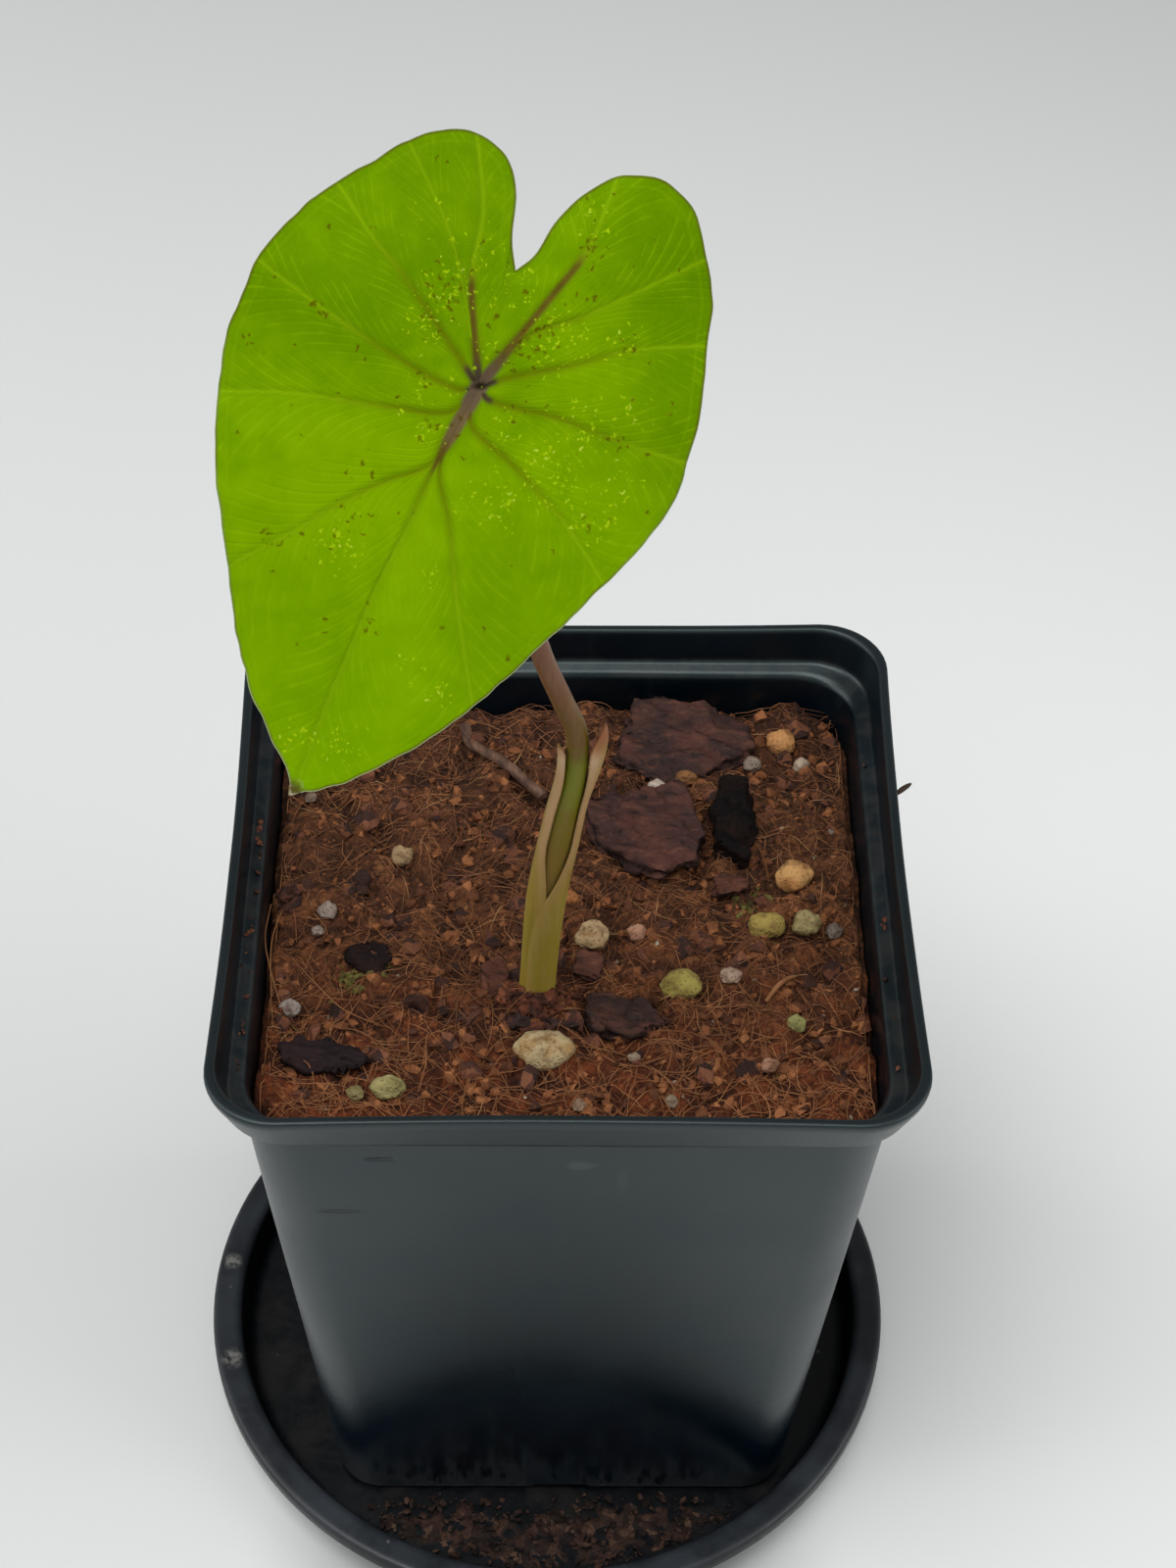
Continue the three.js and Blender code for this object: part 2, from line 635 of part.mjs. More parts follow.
// Mix in the pot: waved on top, cut out round the sheath, the corm and what lies in it
function buildSoil() {
  const low = POT_BOTTOM + FOOT_HEIGHT + BASE_THICKNESS + GAP;
  const shell = POT_WALL + GAP;
  const edge = squareRing(bodyHalf(SOIL_LEVEL) - shell - 0.1, BODY_TOP_CORNER - shell, 0, 0, 8, 6);
  const lift = (ring) => ring.map((p) => p.clone().setZ(soilHeight(p.x, p.y)));
  const sides = [[low, 1.2], [low + 2, 0.15]].map(([z, inset]) => (
    squareRing(bodyHalf(z) - shell - inset, bodyCorner(z) - shell, z, 0, 8, 6)
  ));
  const rings = [sides[0], sides[1], lift(edge)];
  for (let k = SOIL_RINGS - 1; k > 0; k -= 1) {
    rings.push(lift(edge.map((p) => new THREE.Vector3(
      lerp(POT_X, p.x, k / SOIL_RINGS),
      lerp(POT_Y, p.y, k / SOIL_RINGS),
      0,
    ))));
  }
  let soil = solid(loft(rings));
  soil = soil.subtract(sheathOuter(POCKET_GAP, false));
  soil = soil.subtract(cormBody(POCKET_GAP));
  soil = soil.subtract(solid(twigGeometry(POCKET_GAP)));
  GRAINS.forEach((grain, k) => {
    soil = soil.subtract(solid(grainGeometry(grain, k, POCKET_GAP)));
  });
  CHIPS.forEach((chip, k) => {
    soil = soil.subtract(solid(chipGeometry(chip, k, POCKET_GAP)));
  });
  return geometryOf(soil);
}

// Directions of the blade: to the tip, to the right and out of its face
function bladeAxes() {
  const up = BLADE_FACING.clone().normalize();
  const tip = BLADE_TIP.clone().addScaledVector(up, -BLADE_TIP.dot(up)).normalize();
  const right = new THREE.Vector3().crossVectors(tip, up).negate();
  return { up, tip, right };
}

// Rise of the blade off its plane: a drooping tip, a gull-wing fold along the midrib,
// lobes that hang back, and a waved margin
function bladeRise(a, b, reach, turn) {
  const droop = a > 0 ? -4.2 * (a / 46) ** 2 : -2.4 * (a / 27) ** 2;
  const fold = 0.13 * Math.sqrt(b * b + 1) - 0.0058 * b * b;
  const wave = 0.8 * Math.sin(7 * turn + 0.6) * reach ** 3;
  return droop + fold + wave;
}

// How far the ribs stand out under the blade
function ribDepth(a, b) {
  let depth = 0;
  BLADE_RIBS.forEach(({ end, depth: full }) => {
    const length = Math.hypot(...end);
    const along = (a * end[0] + b * end[1]) / length;
    const aside = Math.abs(a * end[1] - b * end[0]) / length;
    const taper = Math.max(0, 1 - Math.max(along, 0) / length);
    const start = along < 0 ? Math.hypot(along, aside) : aside;
    depth = Math.max(depth, full * taper * Math.exp(-((start / RIB_WIDTH) ** 2)));
  });
  return depth;
}

function buildBlade() {
  const { up, tip, right } = bladeAxes();
  const loop = [...BLADE_EDGE, BLADE_EDGE[0]].map(([a, b]) => new THREE.Vector3(a, b, 0));
  const edge = new THREE.CatmullRomCurve3(loop, false, 'centripetal');
  const samples = [];
  for (let i = 0; i < BLADE_SAMPLES; i += 1) {
    samples.push(edge.getPoint(i / BLADE_SAMPLES));
  }
  const ringAt = (reach, under) => samples.map((sample) => {
    const a = sample.x * reach;
    const b = sample.y * reach;
    const rise = bladeRise(a, b, reach, Math.atan2(b, a));
    const drop = under ? BLADE_THICKNESS + ribDepth(a, b) : 0;
    return HUB.clone()
      .addScaledVector(tip, a)
      .addScaledVector(right, b)
      .addScaledVector(up, rise - drop);
  });
  const lower = BLADE_RINGS.map((reach) => ringAt(reach, true));
  const upper = BLADE_RINGS.map((reach) => ringAt(reach, false)).reverse();
  return loft([...lower, ...upper], lower.length - 1);
}

// Loose mix on the saucer, a low crescent with a bare notch near the middle
function buildSpill() {
  const columns = 24;
  const rows = 4;
  const bottom = SAUCER_FLOOR + GAP;
  const ring = (level) => {
    const grid = [];
    for (let i = 0; i <= columns; i += 1) {
      const u = i / columns;
      const x = lerp(-SPILL_HALF_LENGTH, SPILL_HALF_LENGTH, u);
      const notch = SPILL_NOTCH * Math.exp(-(((x + 3.5) / 3.2) ** 2));
      const ends = 1.8 * Math.abs(2 * u - 1) ** 4;
      const back = SPILL_BACK - notch - ends - 0.7 * scatter(i + 5);
      const front = -Math.sqrt(SPILL_REACH ** 2 - x * x);
      const row = [];
      for (let j = 0; j <= rows; j += 1) {
        const v = j / rows;
        const inside = Math.sin(Math.PI * v) * Math.sin(Math.PI * u) ** 0.5;
        const heap = 0.35 + inside * (0.5 + 0.9 * scatter(i * 11 + j * 3));
        row.push(new THREE.Vector3(x, lerp(front, back, v), bottom + level * heap));
      }
      grid.push(row);
    }
    return grid;
  };
  const low = ring(0);
  const high = ring(1);
  const rings = low.map((row, i) => [...row, ...high[i].slice().reverse()]);
  return loft(rings);
}

function material({ color, roughness }) {
  return new THREE.MeshStandardMaterial({ color, roughness, metalness: 0 });
}

function mesh(name, geometry, look) {
  const piece = new THREE.Mesh(geometry, material(look));
  piece.name = name;
  return piece;
}

const plant = new THREE.Group();
plant.add(mesh('saucer', buildSaucer(), PLASTIC));
plant.add(mesh('nursery_pot', buildPot(), PLASTIC));
plant.add(mesh('potting_mix', buildSoil(), { color: 0x4a2c1d, roughness: 1 }));
plant.add(mesh('corm', geometryOf(cormBody(0)), { color: 0x6b4a33, roughness: 0.9 }));
plant.add(mesh('leaf_stalk', buildStalk(), { color: 0x8a7a3a, roughness: 0.5 }));
plant.add(mesh('stalk_sheath', buildSheath(), { color: 0xa39a4e, roughness: 0.55 }));
plant.add(mesh('leaf_blade', buildBlade(), { color: 0x6a9a00, roughness: 0.45 }));
plant.add(mesh('twig', twigGeometry(0), { color: 0x7a5b45, roughness: 0.9 }));
plant.add(mesh('spilled_mix', buildSpill(), { color: 0x53352a, roughness: 1 }));
GRAINS.forEach((grain, k) => {
  plant.add(mesh(grain[0], grainGeometry(grain, k, 0), { color: grain[6], roughness: 0.9 }));
});
CHIPS.forEach((chip, k) => {
  plant.add(mesh(chip[0], chipGeometry(chip, k, 0), { color: chip[8], roughness: BARK_ROUGHNESS }));
});

export default plant;
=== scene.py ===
# Potted queen of phoenix elephant ear: a lime green heart-shaped leaf on a sheathed stalk,
# in coir mix with pumice and bark, in a square nursery pot on a round saucer.
# Shapes are worked out in millimetres and turned to metres when a piece is finished.

import math
import random

import bmesh
import bpy
import numpy as np
from mathutils import Matrix, Vector, noise


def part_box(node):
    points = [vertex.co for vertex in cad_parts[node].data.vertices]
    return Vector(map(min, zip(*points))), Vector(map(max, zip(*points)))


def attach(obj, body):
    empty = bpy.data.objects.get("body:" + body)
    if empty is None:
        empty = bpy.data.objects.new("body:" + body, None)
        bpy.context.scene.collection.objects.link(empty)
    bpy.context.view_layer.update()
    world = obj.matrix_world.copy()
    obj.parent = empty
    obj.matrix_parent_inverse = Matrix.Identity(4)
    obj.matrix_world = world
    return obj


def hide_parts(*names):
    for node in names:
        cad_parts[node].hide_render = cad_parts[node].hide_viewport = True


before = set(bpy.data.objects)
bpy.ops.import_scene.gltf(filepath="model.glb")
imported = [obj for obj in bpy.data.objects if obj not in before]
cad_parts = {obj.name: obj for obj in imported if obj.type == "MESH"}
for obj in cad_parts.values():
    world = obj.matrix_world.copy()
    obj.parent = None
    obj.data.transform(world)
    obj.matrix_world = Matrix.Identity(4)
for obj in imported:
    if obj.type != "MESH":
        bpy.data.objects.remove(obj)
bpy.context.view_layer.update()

MM = 0.001


def box_mm(node):
    """Lowest and highest corner of a node, in millimetres."""
    low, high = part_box(node)
    return low / MM, high / MM


# Pot and saucer, from the frame
POT_LOW, POT_HIGH = box_mm("nursery_pot")
POT_X = (POT_LOW.x + POT_HIGH.x) / 2
POT_Y = (POT_LOW.y + POT_HIGH.y) / 2
POT_BOTTOM = POT_LOW.z
POT_RIM = POT_HIGH.z
RIM_HALF = (POT_HIGH.x - POT_LOW.x) / 2
SAUCER_RADIUS = box_mm("saucer")[1].x
SAUCER_HEIGHT = box_mm("saucer")[1].z

# Pot walls; the drops are measured down from the rim
BAND_DROP = 6.8
LEDGE_DROP = 5.4
LEDGE_MIDDLE = 41.6
BODY_TOP_HALF = 41.3
BODY_BOTTOM_HALF = 33.1
BODY_CORNER = 8.2
POT_WALL = 1.1
RIM_BOW = 0.6
FLOOR_TOP = POT_BOTTOM + 2.5
DRAIN_RADIUS = 3.5
DRAIN_REACH = 19.0

# Saucer section
SAUCER_FLOOR = 1.6
SAUCER_FLOOR_RADIUS = 44.9
SAUCER_LIP = 4.4

# Mix that has washed out on to the saucer: its front is an arc, its back a notched line
SPILL_FRONT_RADIUS = 43.9
SPILL_BACK = -31.6
SPILL_CRUMBS_BACK = -31.0

# Potting mix
SOIL_LEVEL = POT_RIM - 10.0
SOIL_BASE = FLOOR_TOP + 0.3
SOIL_HALF = 39.6
SOIL_CORNER = 6.6
STEM_CLEARANCE = 3.4

# Middle line of the stalk, from the corm to the blade, and its radii: low down, thin under the blade,
# what it gains inside the sheath, and where it meets the blade. Its third point is in the mix's surface.
STALK_ROUTE = [
    (-3.0, -13.0, 83.0),
    (-2.4, -13.1, 90.0),
    (-2.0, -13.2, 96.3),
    (-0.8, -13.4, 115.0),
    (1.3, -13.8, 130.0),
    (2.6, -14.0, 138.4),
    (2.5, -14.3, 144.8),
    (0.9, -14.7, 150.0),
    (-1.8, -15.6, 159.0),
    (-4.1, -16.8, 172.0),
    (-6.3, -18.6, 187.0),
    (-8.3, -21.0, 201.3),
]
STEM_X, STEM_Y = STALK_ROUTE[2][:2]
STALK_RADIUS = 1.46
STALK_THIN = 1.1
STALK_SWELL = 0.34
STALK_CAP = 1.7
SHEATH_RADIUS = 2.6
SHEATH_FOOT = 84.0
SHEATH_TOP = 143.5
SHEATH_SPLIT = 129.5

# Blade: its hub, the way it faces and the way its tip points
HUB = Vector((-8.3, -21.0, 201.4))
BLADE_FACING = Vector((0.026, -0.767, 0.641)).normalized()
BLADE_TIP = Vector((-0.419, -0.591, -0.689))
BLADE_TIP = (BLADE_TIP - BLADE_FACING * BLADE_TIP.dot(BLADE_FACING)).normalized()
BLADE_RIGHT = BLADE_FACING.cross(BLADE_TIP)
BLADE_THICKNESS = 0.5
BLADE_COLUMNS = 330
BLADE_RINGS = 112

# Edge of the blade, from the notch round the left side, the tip and the right side:
# distance from the hub towards the tip, then to the right
BLADE_EDGE = [
    (-12.4, -1.6), (-15.0, -3.2), (-19.8, -5.0), (-22.3, -7.1), (-23.3, -9.9),
    (-22.6, -13.3), (-19.8, -16.8), (-15.1, -20.2), (-10.8, -23.2), (-5.9, -25.0),
    (-1.4, -25.9), (3.7, -25.9), (8.8, -25.1), (14.8, -23.0), (20.2, -20.4),
    (26.5, -16.6), (31.4, -13.5), (37.2, -9.7), (41.2, -5.6), (44.3, -1.9),
    (45.9, -0.5), (47.0, -0.1), (46.3, 1.0), (43.3, 4.6), (38.5, 8.7), (33.3, 11.9), (28.0, 14.6),
    (20.9, 17.5), (14.5, 19.8), (7.3, 22.4), (1.7, 23.4), (-2.1, 22.9),
    (-6.4, 22.1), (-13.4, 19.7), (-18.2, 18.2), (-22.3, 15.6), (-25.7, 12.5),
    (-27.1, 8.7), (-26.2, 4.6), (-22.7, 1.6), (-18.5, 0.0), (-14.6, -0.5),
    (-12.4, -1.6),
]

# Main veins in the same order: route from the hub, half width at the hub and at the edge,
# and how far from the hub the purple brown and the olive brown reach
VEINS = [
    ([(-9.9, -5.4), (-16.3, -7.1), (-21.9, -10.2)], 0.56, 0.14, 11.7, 13.5),
    ([(-7.0, -4.6), (-12.9, -9.3), (-18.4, -15.6)], 0.16, 0.08, 0.0, 0.0),
    ([(-1.4, -2.4), (-7.0, -11.9), (-9.1, -16.2), (-12.2, -21.1)], 0.42, 0.13, 2.4, 20.0),
    ([(1.1, -1.5), (0.8, -9.8), (-0.2, -16.8), (-1.4, -23.0)], 0.32, 0.11, 1.2, 17.0),
    ([(3.5, -1.4), (5.8, -7.5), (9.0, -17.7), (11.2, -22.7)], 0.32, 0.11, 2.4, 17.0),
    ([(9.0, -1.0), (12.9, -4.7), (16.6, -7.7), (21.0, -10.6), (26.1, -14.5)], 0.26, 0.11, 9.2, 24.0),
    (
        [(9.5, -0.7), (16.1, -0.7), (23.3, -0.9), (30.4, -0.7), (36.5, -0.5), (44.0, 0.1)],
        0.95, 0.12, 10.4, 17.0,
    ),
    ([(9.0, -0.2), (14.2, 3.3), (20.6, 7.0), (25.8, 10.4)], 0.25, 0.11, 9.2, 24.0),
    ([(3.7, 0.7), (5.7, 6.2), (8.0, 12.0), (10.2, 16.1), (12.6, 19.8)], 0.40, 0.13, 3.6, 20.0),
    ([(0.8, 1.4), (-0.5, 8.5), (-1.0, 15.0), (-2.0, 22.7)], 0.40, 0.13, 2.0, 20.0),
    ([(-1.6, 1.8), (-6.4, 8.2), (-10.1, 12.7), (-13.5, 18.8)], 0.38, 0.12, 1.8, 19.0),
    ([(-6.8, 2.3), (-10.6, 6.3), (-14.9, 10.0)], 0.27, 0.11, 6.6, 16.0),
    ([(-6.8, 1.7), (-12.0, 3.0), (-17.2, 4.2), (-24.1, 4.0)], 0.78, 0.14, 18.0, 20.5),
]

# Patches of pale flecks and of brown specks on the blade: place, radius and strength
FLECK_PATCHES = [
    (-7.5, -7.1, 4.4, 1.0), (-4.0, -0.3, 2.4, 0.8), (-7.6, 5.2, 4.2, 1.0), (-20.4, 3.5, 3.0, 0.8),
    (-11.0, 11.3, 3.2, 0.8), (-11.1, -0.8, 3.0, 0.8), (2.9, -5.1, 3.4, 0.7), (6.2, -2.8, 2.2, 0.9),
    (2.9, 4.3, 2.8, 0.8), (4.2, 9.6, 3.8, 1.0), (3.0, 17.8, 3.6, 0.7), (20.8, -6.1, 3.6, 1.0),
    (20.3, 3.7, 2.2, 0.7), (10.3, 6.4, 4.4, 0.9), (7.6, 16.5, 3.8, 0.7), (40.8, -1.5, 3.0, 0.8),
    (39.5, 2.6, 3.0, 0.8), (30.2, 9.6, 2.2, 0.6), (29.5, 5.3, 2.8, 0.6), (-13.5, -12.0, 4.0, 0.35),
    (-12.6, -5.4, 3.0, 0.8), (-3.6, -7.0, 3.4, 0.9), (-1.0, 11.5, 5.0, 0.6), (6.0, 11.0, 5.0, 0.8),
    (-4.6, 16.0, 3.2, 0.5), (1.0, -2.6, 2.2, 0.8), (0.0, 4.0, 27.0, 0.17),
]
SPECK_PATCHES = [
    (-0.1, -18.2, 0.9, 1.0), (-1.5, -23.9, 0.8, 0.9), (17.3, -5.8, 2.2, 1.0), (23.1, -11.8, 2.0, 0.8),
    (27.2, 0.2, 1.0, 1.0), (-4.5, 2.3, 2.0, 0.9), (-6.9, 3.6, 2.4, 1.0), (-10.3, 12.6, 1.3, 1.0),
    (-0.6, 16.1, 1.3, 0.9), (-17.7, 4.8, 1.4, 0.8), (-12.5, 4.5, 1.6, 0.8), (-7.5, -7.1, 3.2, 0.9),
    (5.8, -2.2, 1.9, 1.0), (5.4, -24.0, 1.1, 0.8), (12.0, -9.6, 1.1, 0.8), (7.6, 16.5, 1.4, 0.8),
    (-3.6, -7.0, 2.6, 0.5), (1.5, -4.4, 2.0, 0.5), (0.5, 5.5, 2.0, 0.5), (-11.0, -1.0, 2.2, 0.4),
    (0.0, 0.0, 30.0, 0.035),
]

# Camera at the photograph's place: position in millimetres, angles in degrees
CAMERA_AT = (-2.02, -265.31, 394.6)
CAMERA_PITCH = 45.86
CAMERA_YAW = 1.38
CAMERA_ROLL = 1.31
CAMERA_LENS = 68.85
SENSOR = 36.0


# Settings that a node has here unless a call gives others
USUAL_SETTINGS = {"MapRange": {"interpolation_type": "SMOOTHSTEP"}, "Mix": {"data_type": "RGBA"}}


def tint(code):
    """Linear colour of an sRGB hex code."""
    parts = [int(code[k:k + 2], 16) / 255 for k in (0, 2, 4)]
    return [p / 12.92 if p <= 0.04045 else ((p + 0.055) / 1.055) ** 2.4 for p in parts] + [1.0]


def per_mm(size):
    """Scale of a pattern in Object coordinates whose features are that many millimetres apart."""
    return 1 / (size * MM)


def add(tree, kind, inputs=(), stops=None, **settings):
    """Adds one node with its settings and links.

    The inputs are named in a dict, or given in the order of the node's sockets. Each is a value,
    an sRGB code, a node or a node's socket. Stops are the places and colours of a ramp.
    """
    made = tree.nodes.new("ShaderNode" + kind)
    for name, value in {**USUAL_SETTINGS.get(kind, {}), **settings}.items():
        setattr(made, name, value)
    sockets = [s for s in made.inputs if s.enabled]
    if isinstance(inputs, dict):
        sockets = [next(s for s in sockets if s.name == name) for name in inputs]
        inputs = inputs.values()
    for socket, value in zip(sockets, inputs):
        if isinstance(value, bpy.types.Node):
            value = next(s for s in value.outputs if s.enabled)
        if isinstance(value, bpy.types.NodeSocket):
            tree.links.new(value, socket)
        else:
            socket.default_value = tint(value) if isinstance(value, str) else value
    if stops:
        band = made.color_ramp.elements
        while len(band) < len(stops):
            band.new(1.0)
        for element, (place, code) in zip(band, stops):
            element.position = place
            element.color = tint(code)
    return made


def new_finish(name, even=()):
    """A material with its node tree, its shader with what is even all over, and its coordinates."""
    finish = bpy.data.materials.new(name)
    finish.use_nodes = True
    tree = finish.node_tree
    tree.nodes.clear()
    shader = add(tree, "BsdfPrincipled", even)
    add(tree, "OutputMaterial", {"Surface": shader})
    return finish, tree, shader, add(tree, "TexCoord").outputs["Object"]


def dress(tree, shader, colour=None, roughness=None, normal=None):
    """Links the nodes of a finish to its shader."""
    for name, source in (("Base Color", colour), ("Roughness", roughness), ("Normal", normal)):
        if source is not None:
            tree.links.new(next(s for s in source.outputs if s.enabled), shader.inputs[name])


def piece(name, shape, finish, stands_for=(), sharp=40):
    """Turns a bmesh in millimetres, or a mesh in metres, into a finished piece of the plant."""
    if isinstance(shape, bmesh.types.BMesh):
        mesh = bpy.data.meshes.new(name)
        bmesh.ops.scale(shape, vec=(MM, MM, MM), verts=shape.verts)
        shape.to_mesh(mesh)
        shape.free()
    else:
        mesh = shape
        mesh.name = name
    mesh.shade_smooth()
    mesh.set_sharp_from_angle(angle=math.radians(sharp))
    mesh.materials.clear()
    mesh.materials.append(finish)
    made = bpy.data.objects.new(name, mesh)
    bpy.context.scene.collection.objects.link(made)
    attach(made, "root")
    if stands_for:
        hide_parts(*stands_for)
    return made


def evaluated(source):
    """Mesh of an object with its modifiers or its bevel applied; the object is removed."""
    graph = bpy.context.evaluated_depsgraph_get()
    mesh = bpy.data.meshes.new_from_object(source.evaluated_get(graph))
    bpy.data.objects.remove(source)
    return mesh


def loose_object(name, data):
    made = bpy.data.objects.new(name, data)
    bpy.context.scene.collection.objects.link(made)
    return made


def eased(corners, span=9.0, steps=4):
    """Outline through corners (across, up, radius), its corners rounded and its long sides divided."""
    points = [Vector(c[:2]) for c in corners]
    outline = [points[0]]
    for k in range(1, len(corners)):
        here = points[k]
        ways = [points[k - 1] - here]
        if k + 1 < len(corners):
            ways.append(points[k + 1] - here)
        reach = 0.0
        if len(ways) == 2:
            reach = min(corners[k][2], 0.45 * ways[0].length, 0.45 * ways[1].length)
        start = here + ways[0].normalized() * reach
        side = start - outline[-1]
        ease = min(0.5, side.length * 0.2)
        if side.length > 1.5:
            outline.append(outline[-1] + side.normalized() * ease)
            pieces = max(1, round(side.length / span))
            inner = start - side.normalized() * ease
            base = outline[-1]
            outline += [base.lerp(inner, j / pieces) for j in range(1, pieces + 1)]
        if reach == 0.0:
            outline.append(here)
            continue
        end = here + ways[1].normalized() * reach
        for j in range(steps + 1):
            t = j / steps
            outline.append(start.lerp(here, t).lerp(here.lerp(end, t), t))
    return outline


def smooth_route(points, steps):
    """Centripetal Catmull-Rom curve through the points, with so many steps between each two."""
    p = np.asarray(points, float)
    p = np.vstack([2 * p[0] - p[1], p, 2 * p[-1] - p[-2]])
    gap = np.linalg.norm(np.diff(p, axis=0), axis=1) ** 0.5
    t = np.linspace(0, 1, steps, endpoint=False)[:, None]
    curve = []
    for k in range(1, len(p) - 2):
        a, b, c = gap[k - 1], gap[k], gap[k + 1]
        before = ((p[k] - p[k - 1]) / a - (p[k + 1] - p[k - 1]) / (a + b) + (p[k + 1] - p[k]) / b) * b
        after = ((p[k + 1] - p[k]) / b - (p[k + 2] - p[k]) / (b + c) + (p[k + 2] - p[k + 1]) / c) * b
        curve.append(
            (2 * t ** 3 - 3 * t ** 2 + 1) * p[k] + (t ** 3 - 2 * t ** 2 + t) * before
            + (3 * t ** 2 - 2 * t ** 3) * p[k + 1] + (t ** 3 - t ** 2) * after
        )
    return np.vstack(curve + [p[-2]])


def along(route):
    """Length from the start to each point of a route."""
    return np.concatenate([[0], np.cumsum(np.linalg.norm(np.diff(route, axis=0), axis=1))])


def ease_between(value, low, high):
    """Goes smoothly from 0 to 1 while a number, or an array, goes from low to high."""
    t = (value - low) / (high - low)
    t = np.clip(t, 0, 1) if isinstance(t, np.ndarray) else min(max(t, 0.0), 1.0)
    return t * t * (3 - 2 * t)


def strand_mesh(name, routes, sides=0):
    """Round strands along routes of (x, y, z, radius) in millimetres, as one closed mesh."""
    curve = bpy.data.curves.new(name, "CURVE")
    curve.dimensions = "3D"
    curve.bevel_depth = MM
    curve.bevel_resolution = sides
    curve.use_fill_caps = True
    for route in routes:
        route = np.asarray(route, float)
        spline = curve.splines.new("POLY")
        spline.points.add(len(route) - 1)
        places = np.column_stack([route[:, :3] * MM, np.ones(len(route))])
        spline.points.foreach_set("co", places.ravel())
        spline.points.foreach_set("radius", route[:, 3])
    return evaluated(loose_object(name, curve))


def soil_height(x, y):
    """Low waves, banked up in the near left corner and round the stem, lower at the back."""
    px, py = x - POT_X, y - POT_Y
    waves = (
        0.7 * math.sin(0.19 * px + 1.3) * math.cos(0.16 * py - 0.4)
        + 0.45 * math.sin(0.41 * px - 0.33 * py + 0.7)
        + 0.3 * math.sin(0.67 * px + 0.58 * py + 2.1)
    )
    corner = 1 - ease_between(math.hypot(px + 36, py + 36), 3, 20)
    back = ease_between(py, 15, 38)
    heap = 4.4 * math.exp(-(((x - STEM_X) / 5.5) ** 2) - ((y - STEM_Y + 1.8) / 3.6) ** 2)
    return SOIL_LEVEL + waves + 1.6 * corner - 0.9 * back + heap


def crumb_relief(x, y):
    """Rise and fall of the loose texture over the even level."""
    lumps = noise.noise((x / 5.2, y / 5.2, 0.0))
    clods = noise.turbulence((x / 3.1, y / 3.1, 4.0), 3, False)
    fines = noise.noise((x / 0.75, y / 0.75, 9.0))
    return 1.15 * lumps + 0.85 * (clods - 0.75) + 0.3 * fines


def ground(x, y):
    return soil_height(x, y) + crumb_relief(x, y)


# Saucer
def saucer_shape():
    """The saucer's section, spun round: a foot ring underneath and a lip rolled outwards."""
    inner = SAUCER_RADIUS - SAUCER_LIP
    top = SAUCER_HEIGHT
    section = eased([
        (0, 0.0, 0),
        (SAUCER_FLOOR_RADIUS - 8.0, 0.0, 0.4),
        (SAUCER_FLOOR_RADIUS - 7.4, 0.45, 0.3),
        (SAUCER_FLOOR_RADIUS - 3.4, 0.45, 0.3),
        (SAUCER_FLOOR_RADIUS - 2.8, 0.0, 0.3),
        (SAUCER_FLOOR_RADIUS + 1.6, 0.0, 1.8),
        (inner + 0.95, top - 1.5, 0.9),
        (SAUCER_RADIUS - 1.45, top - 1.35, 0.7),
        (SAUCER_RADIUS - 1.2, top - 2.4, 0.25),
        (SAUCER_RADIUS - 0.1, top - 2.4, 0.25),
        (SAUCER_RADIUS, top, 1.3),
        (inner, top, 1.2),
        (SAUCER_FLOOR_RADIUS + 1.3, SAUCER_FLOOR, 1.6),
        (0, SAUCER_FLOOR, 0),
    ], steps=5)
    bm = bmesh.new()
    ring = [bm.verts.new((p.x, 0, p.y)) for p in outline_without_repeats(section)]
    for a, b in zip(ring, ring[1:]):
        bm.edges.new((a, b))
    bmesh.ops.spin(
        bm, geom=bm.verts[:] + bm.edges[:], cent=(0, 0, 0), axis=(0, 0, 1),
        angle=2 * math.pi, steps=150, use_merge=True,
    )
    bmesh.ops.remove_doubles(bm, verts=bm.verts, dist=1e-4)
    bmesh.ops.recalc_face_normals(bm, faces=bm.faces)
    return bm


def outline_without_repeats(outline):
    kept = [outline[0]]
    for point in outline[1:]:
        if (point - kept[-1]).length > 1e-3:
            kept.append(point)
    return kept


# Square nursery pot
def body_half(z):
    """Half width of the tapered body at a height."""
    share = (z - POT_BOTTOM) / (POT_RIM - BAND_DROP - POT_BOTTOM)
    return BODY_BOTTOM_HALF + (BODY_TOP_HALF - BODY_BOTTOM_HALF) * share


def square_outline(bm, half, corner, z):
    """A square with round corners round the pot's middle; gives its edges."""
    bmesh.ops.create_grid(bm, x_segments=1, y_segments=1, size=half)
    bmesh.ops.bevel(
        bm, geom=bm.verts[:], offset=corner, affect="VERTICES", segments=12, profile=0.5, material=-1,
    )
    straight = [e for e in bm.edges if e.calc_length() > half]
    bmesh.ops.subdivide_edges(bm, edges=straight, cuts=17)
    bmesh.ops.delete(bm, geom=bm.faces[:], context="FACES_ONLY")
    bmesh.ops.translate(bm, vec=(POT_X, POT_Y, z), verts=bm.verts)
    return bm.edges[:]


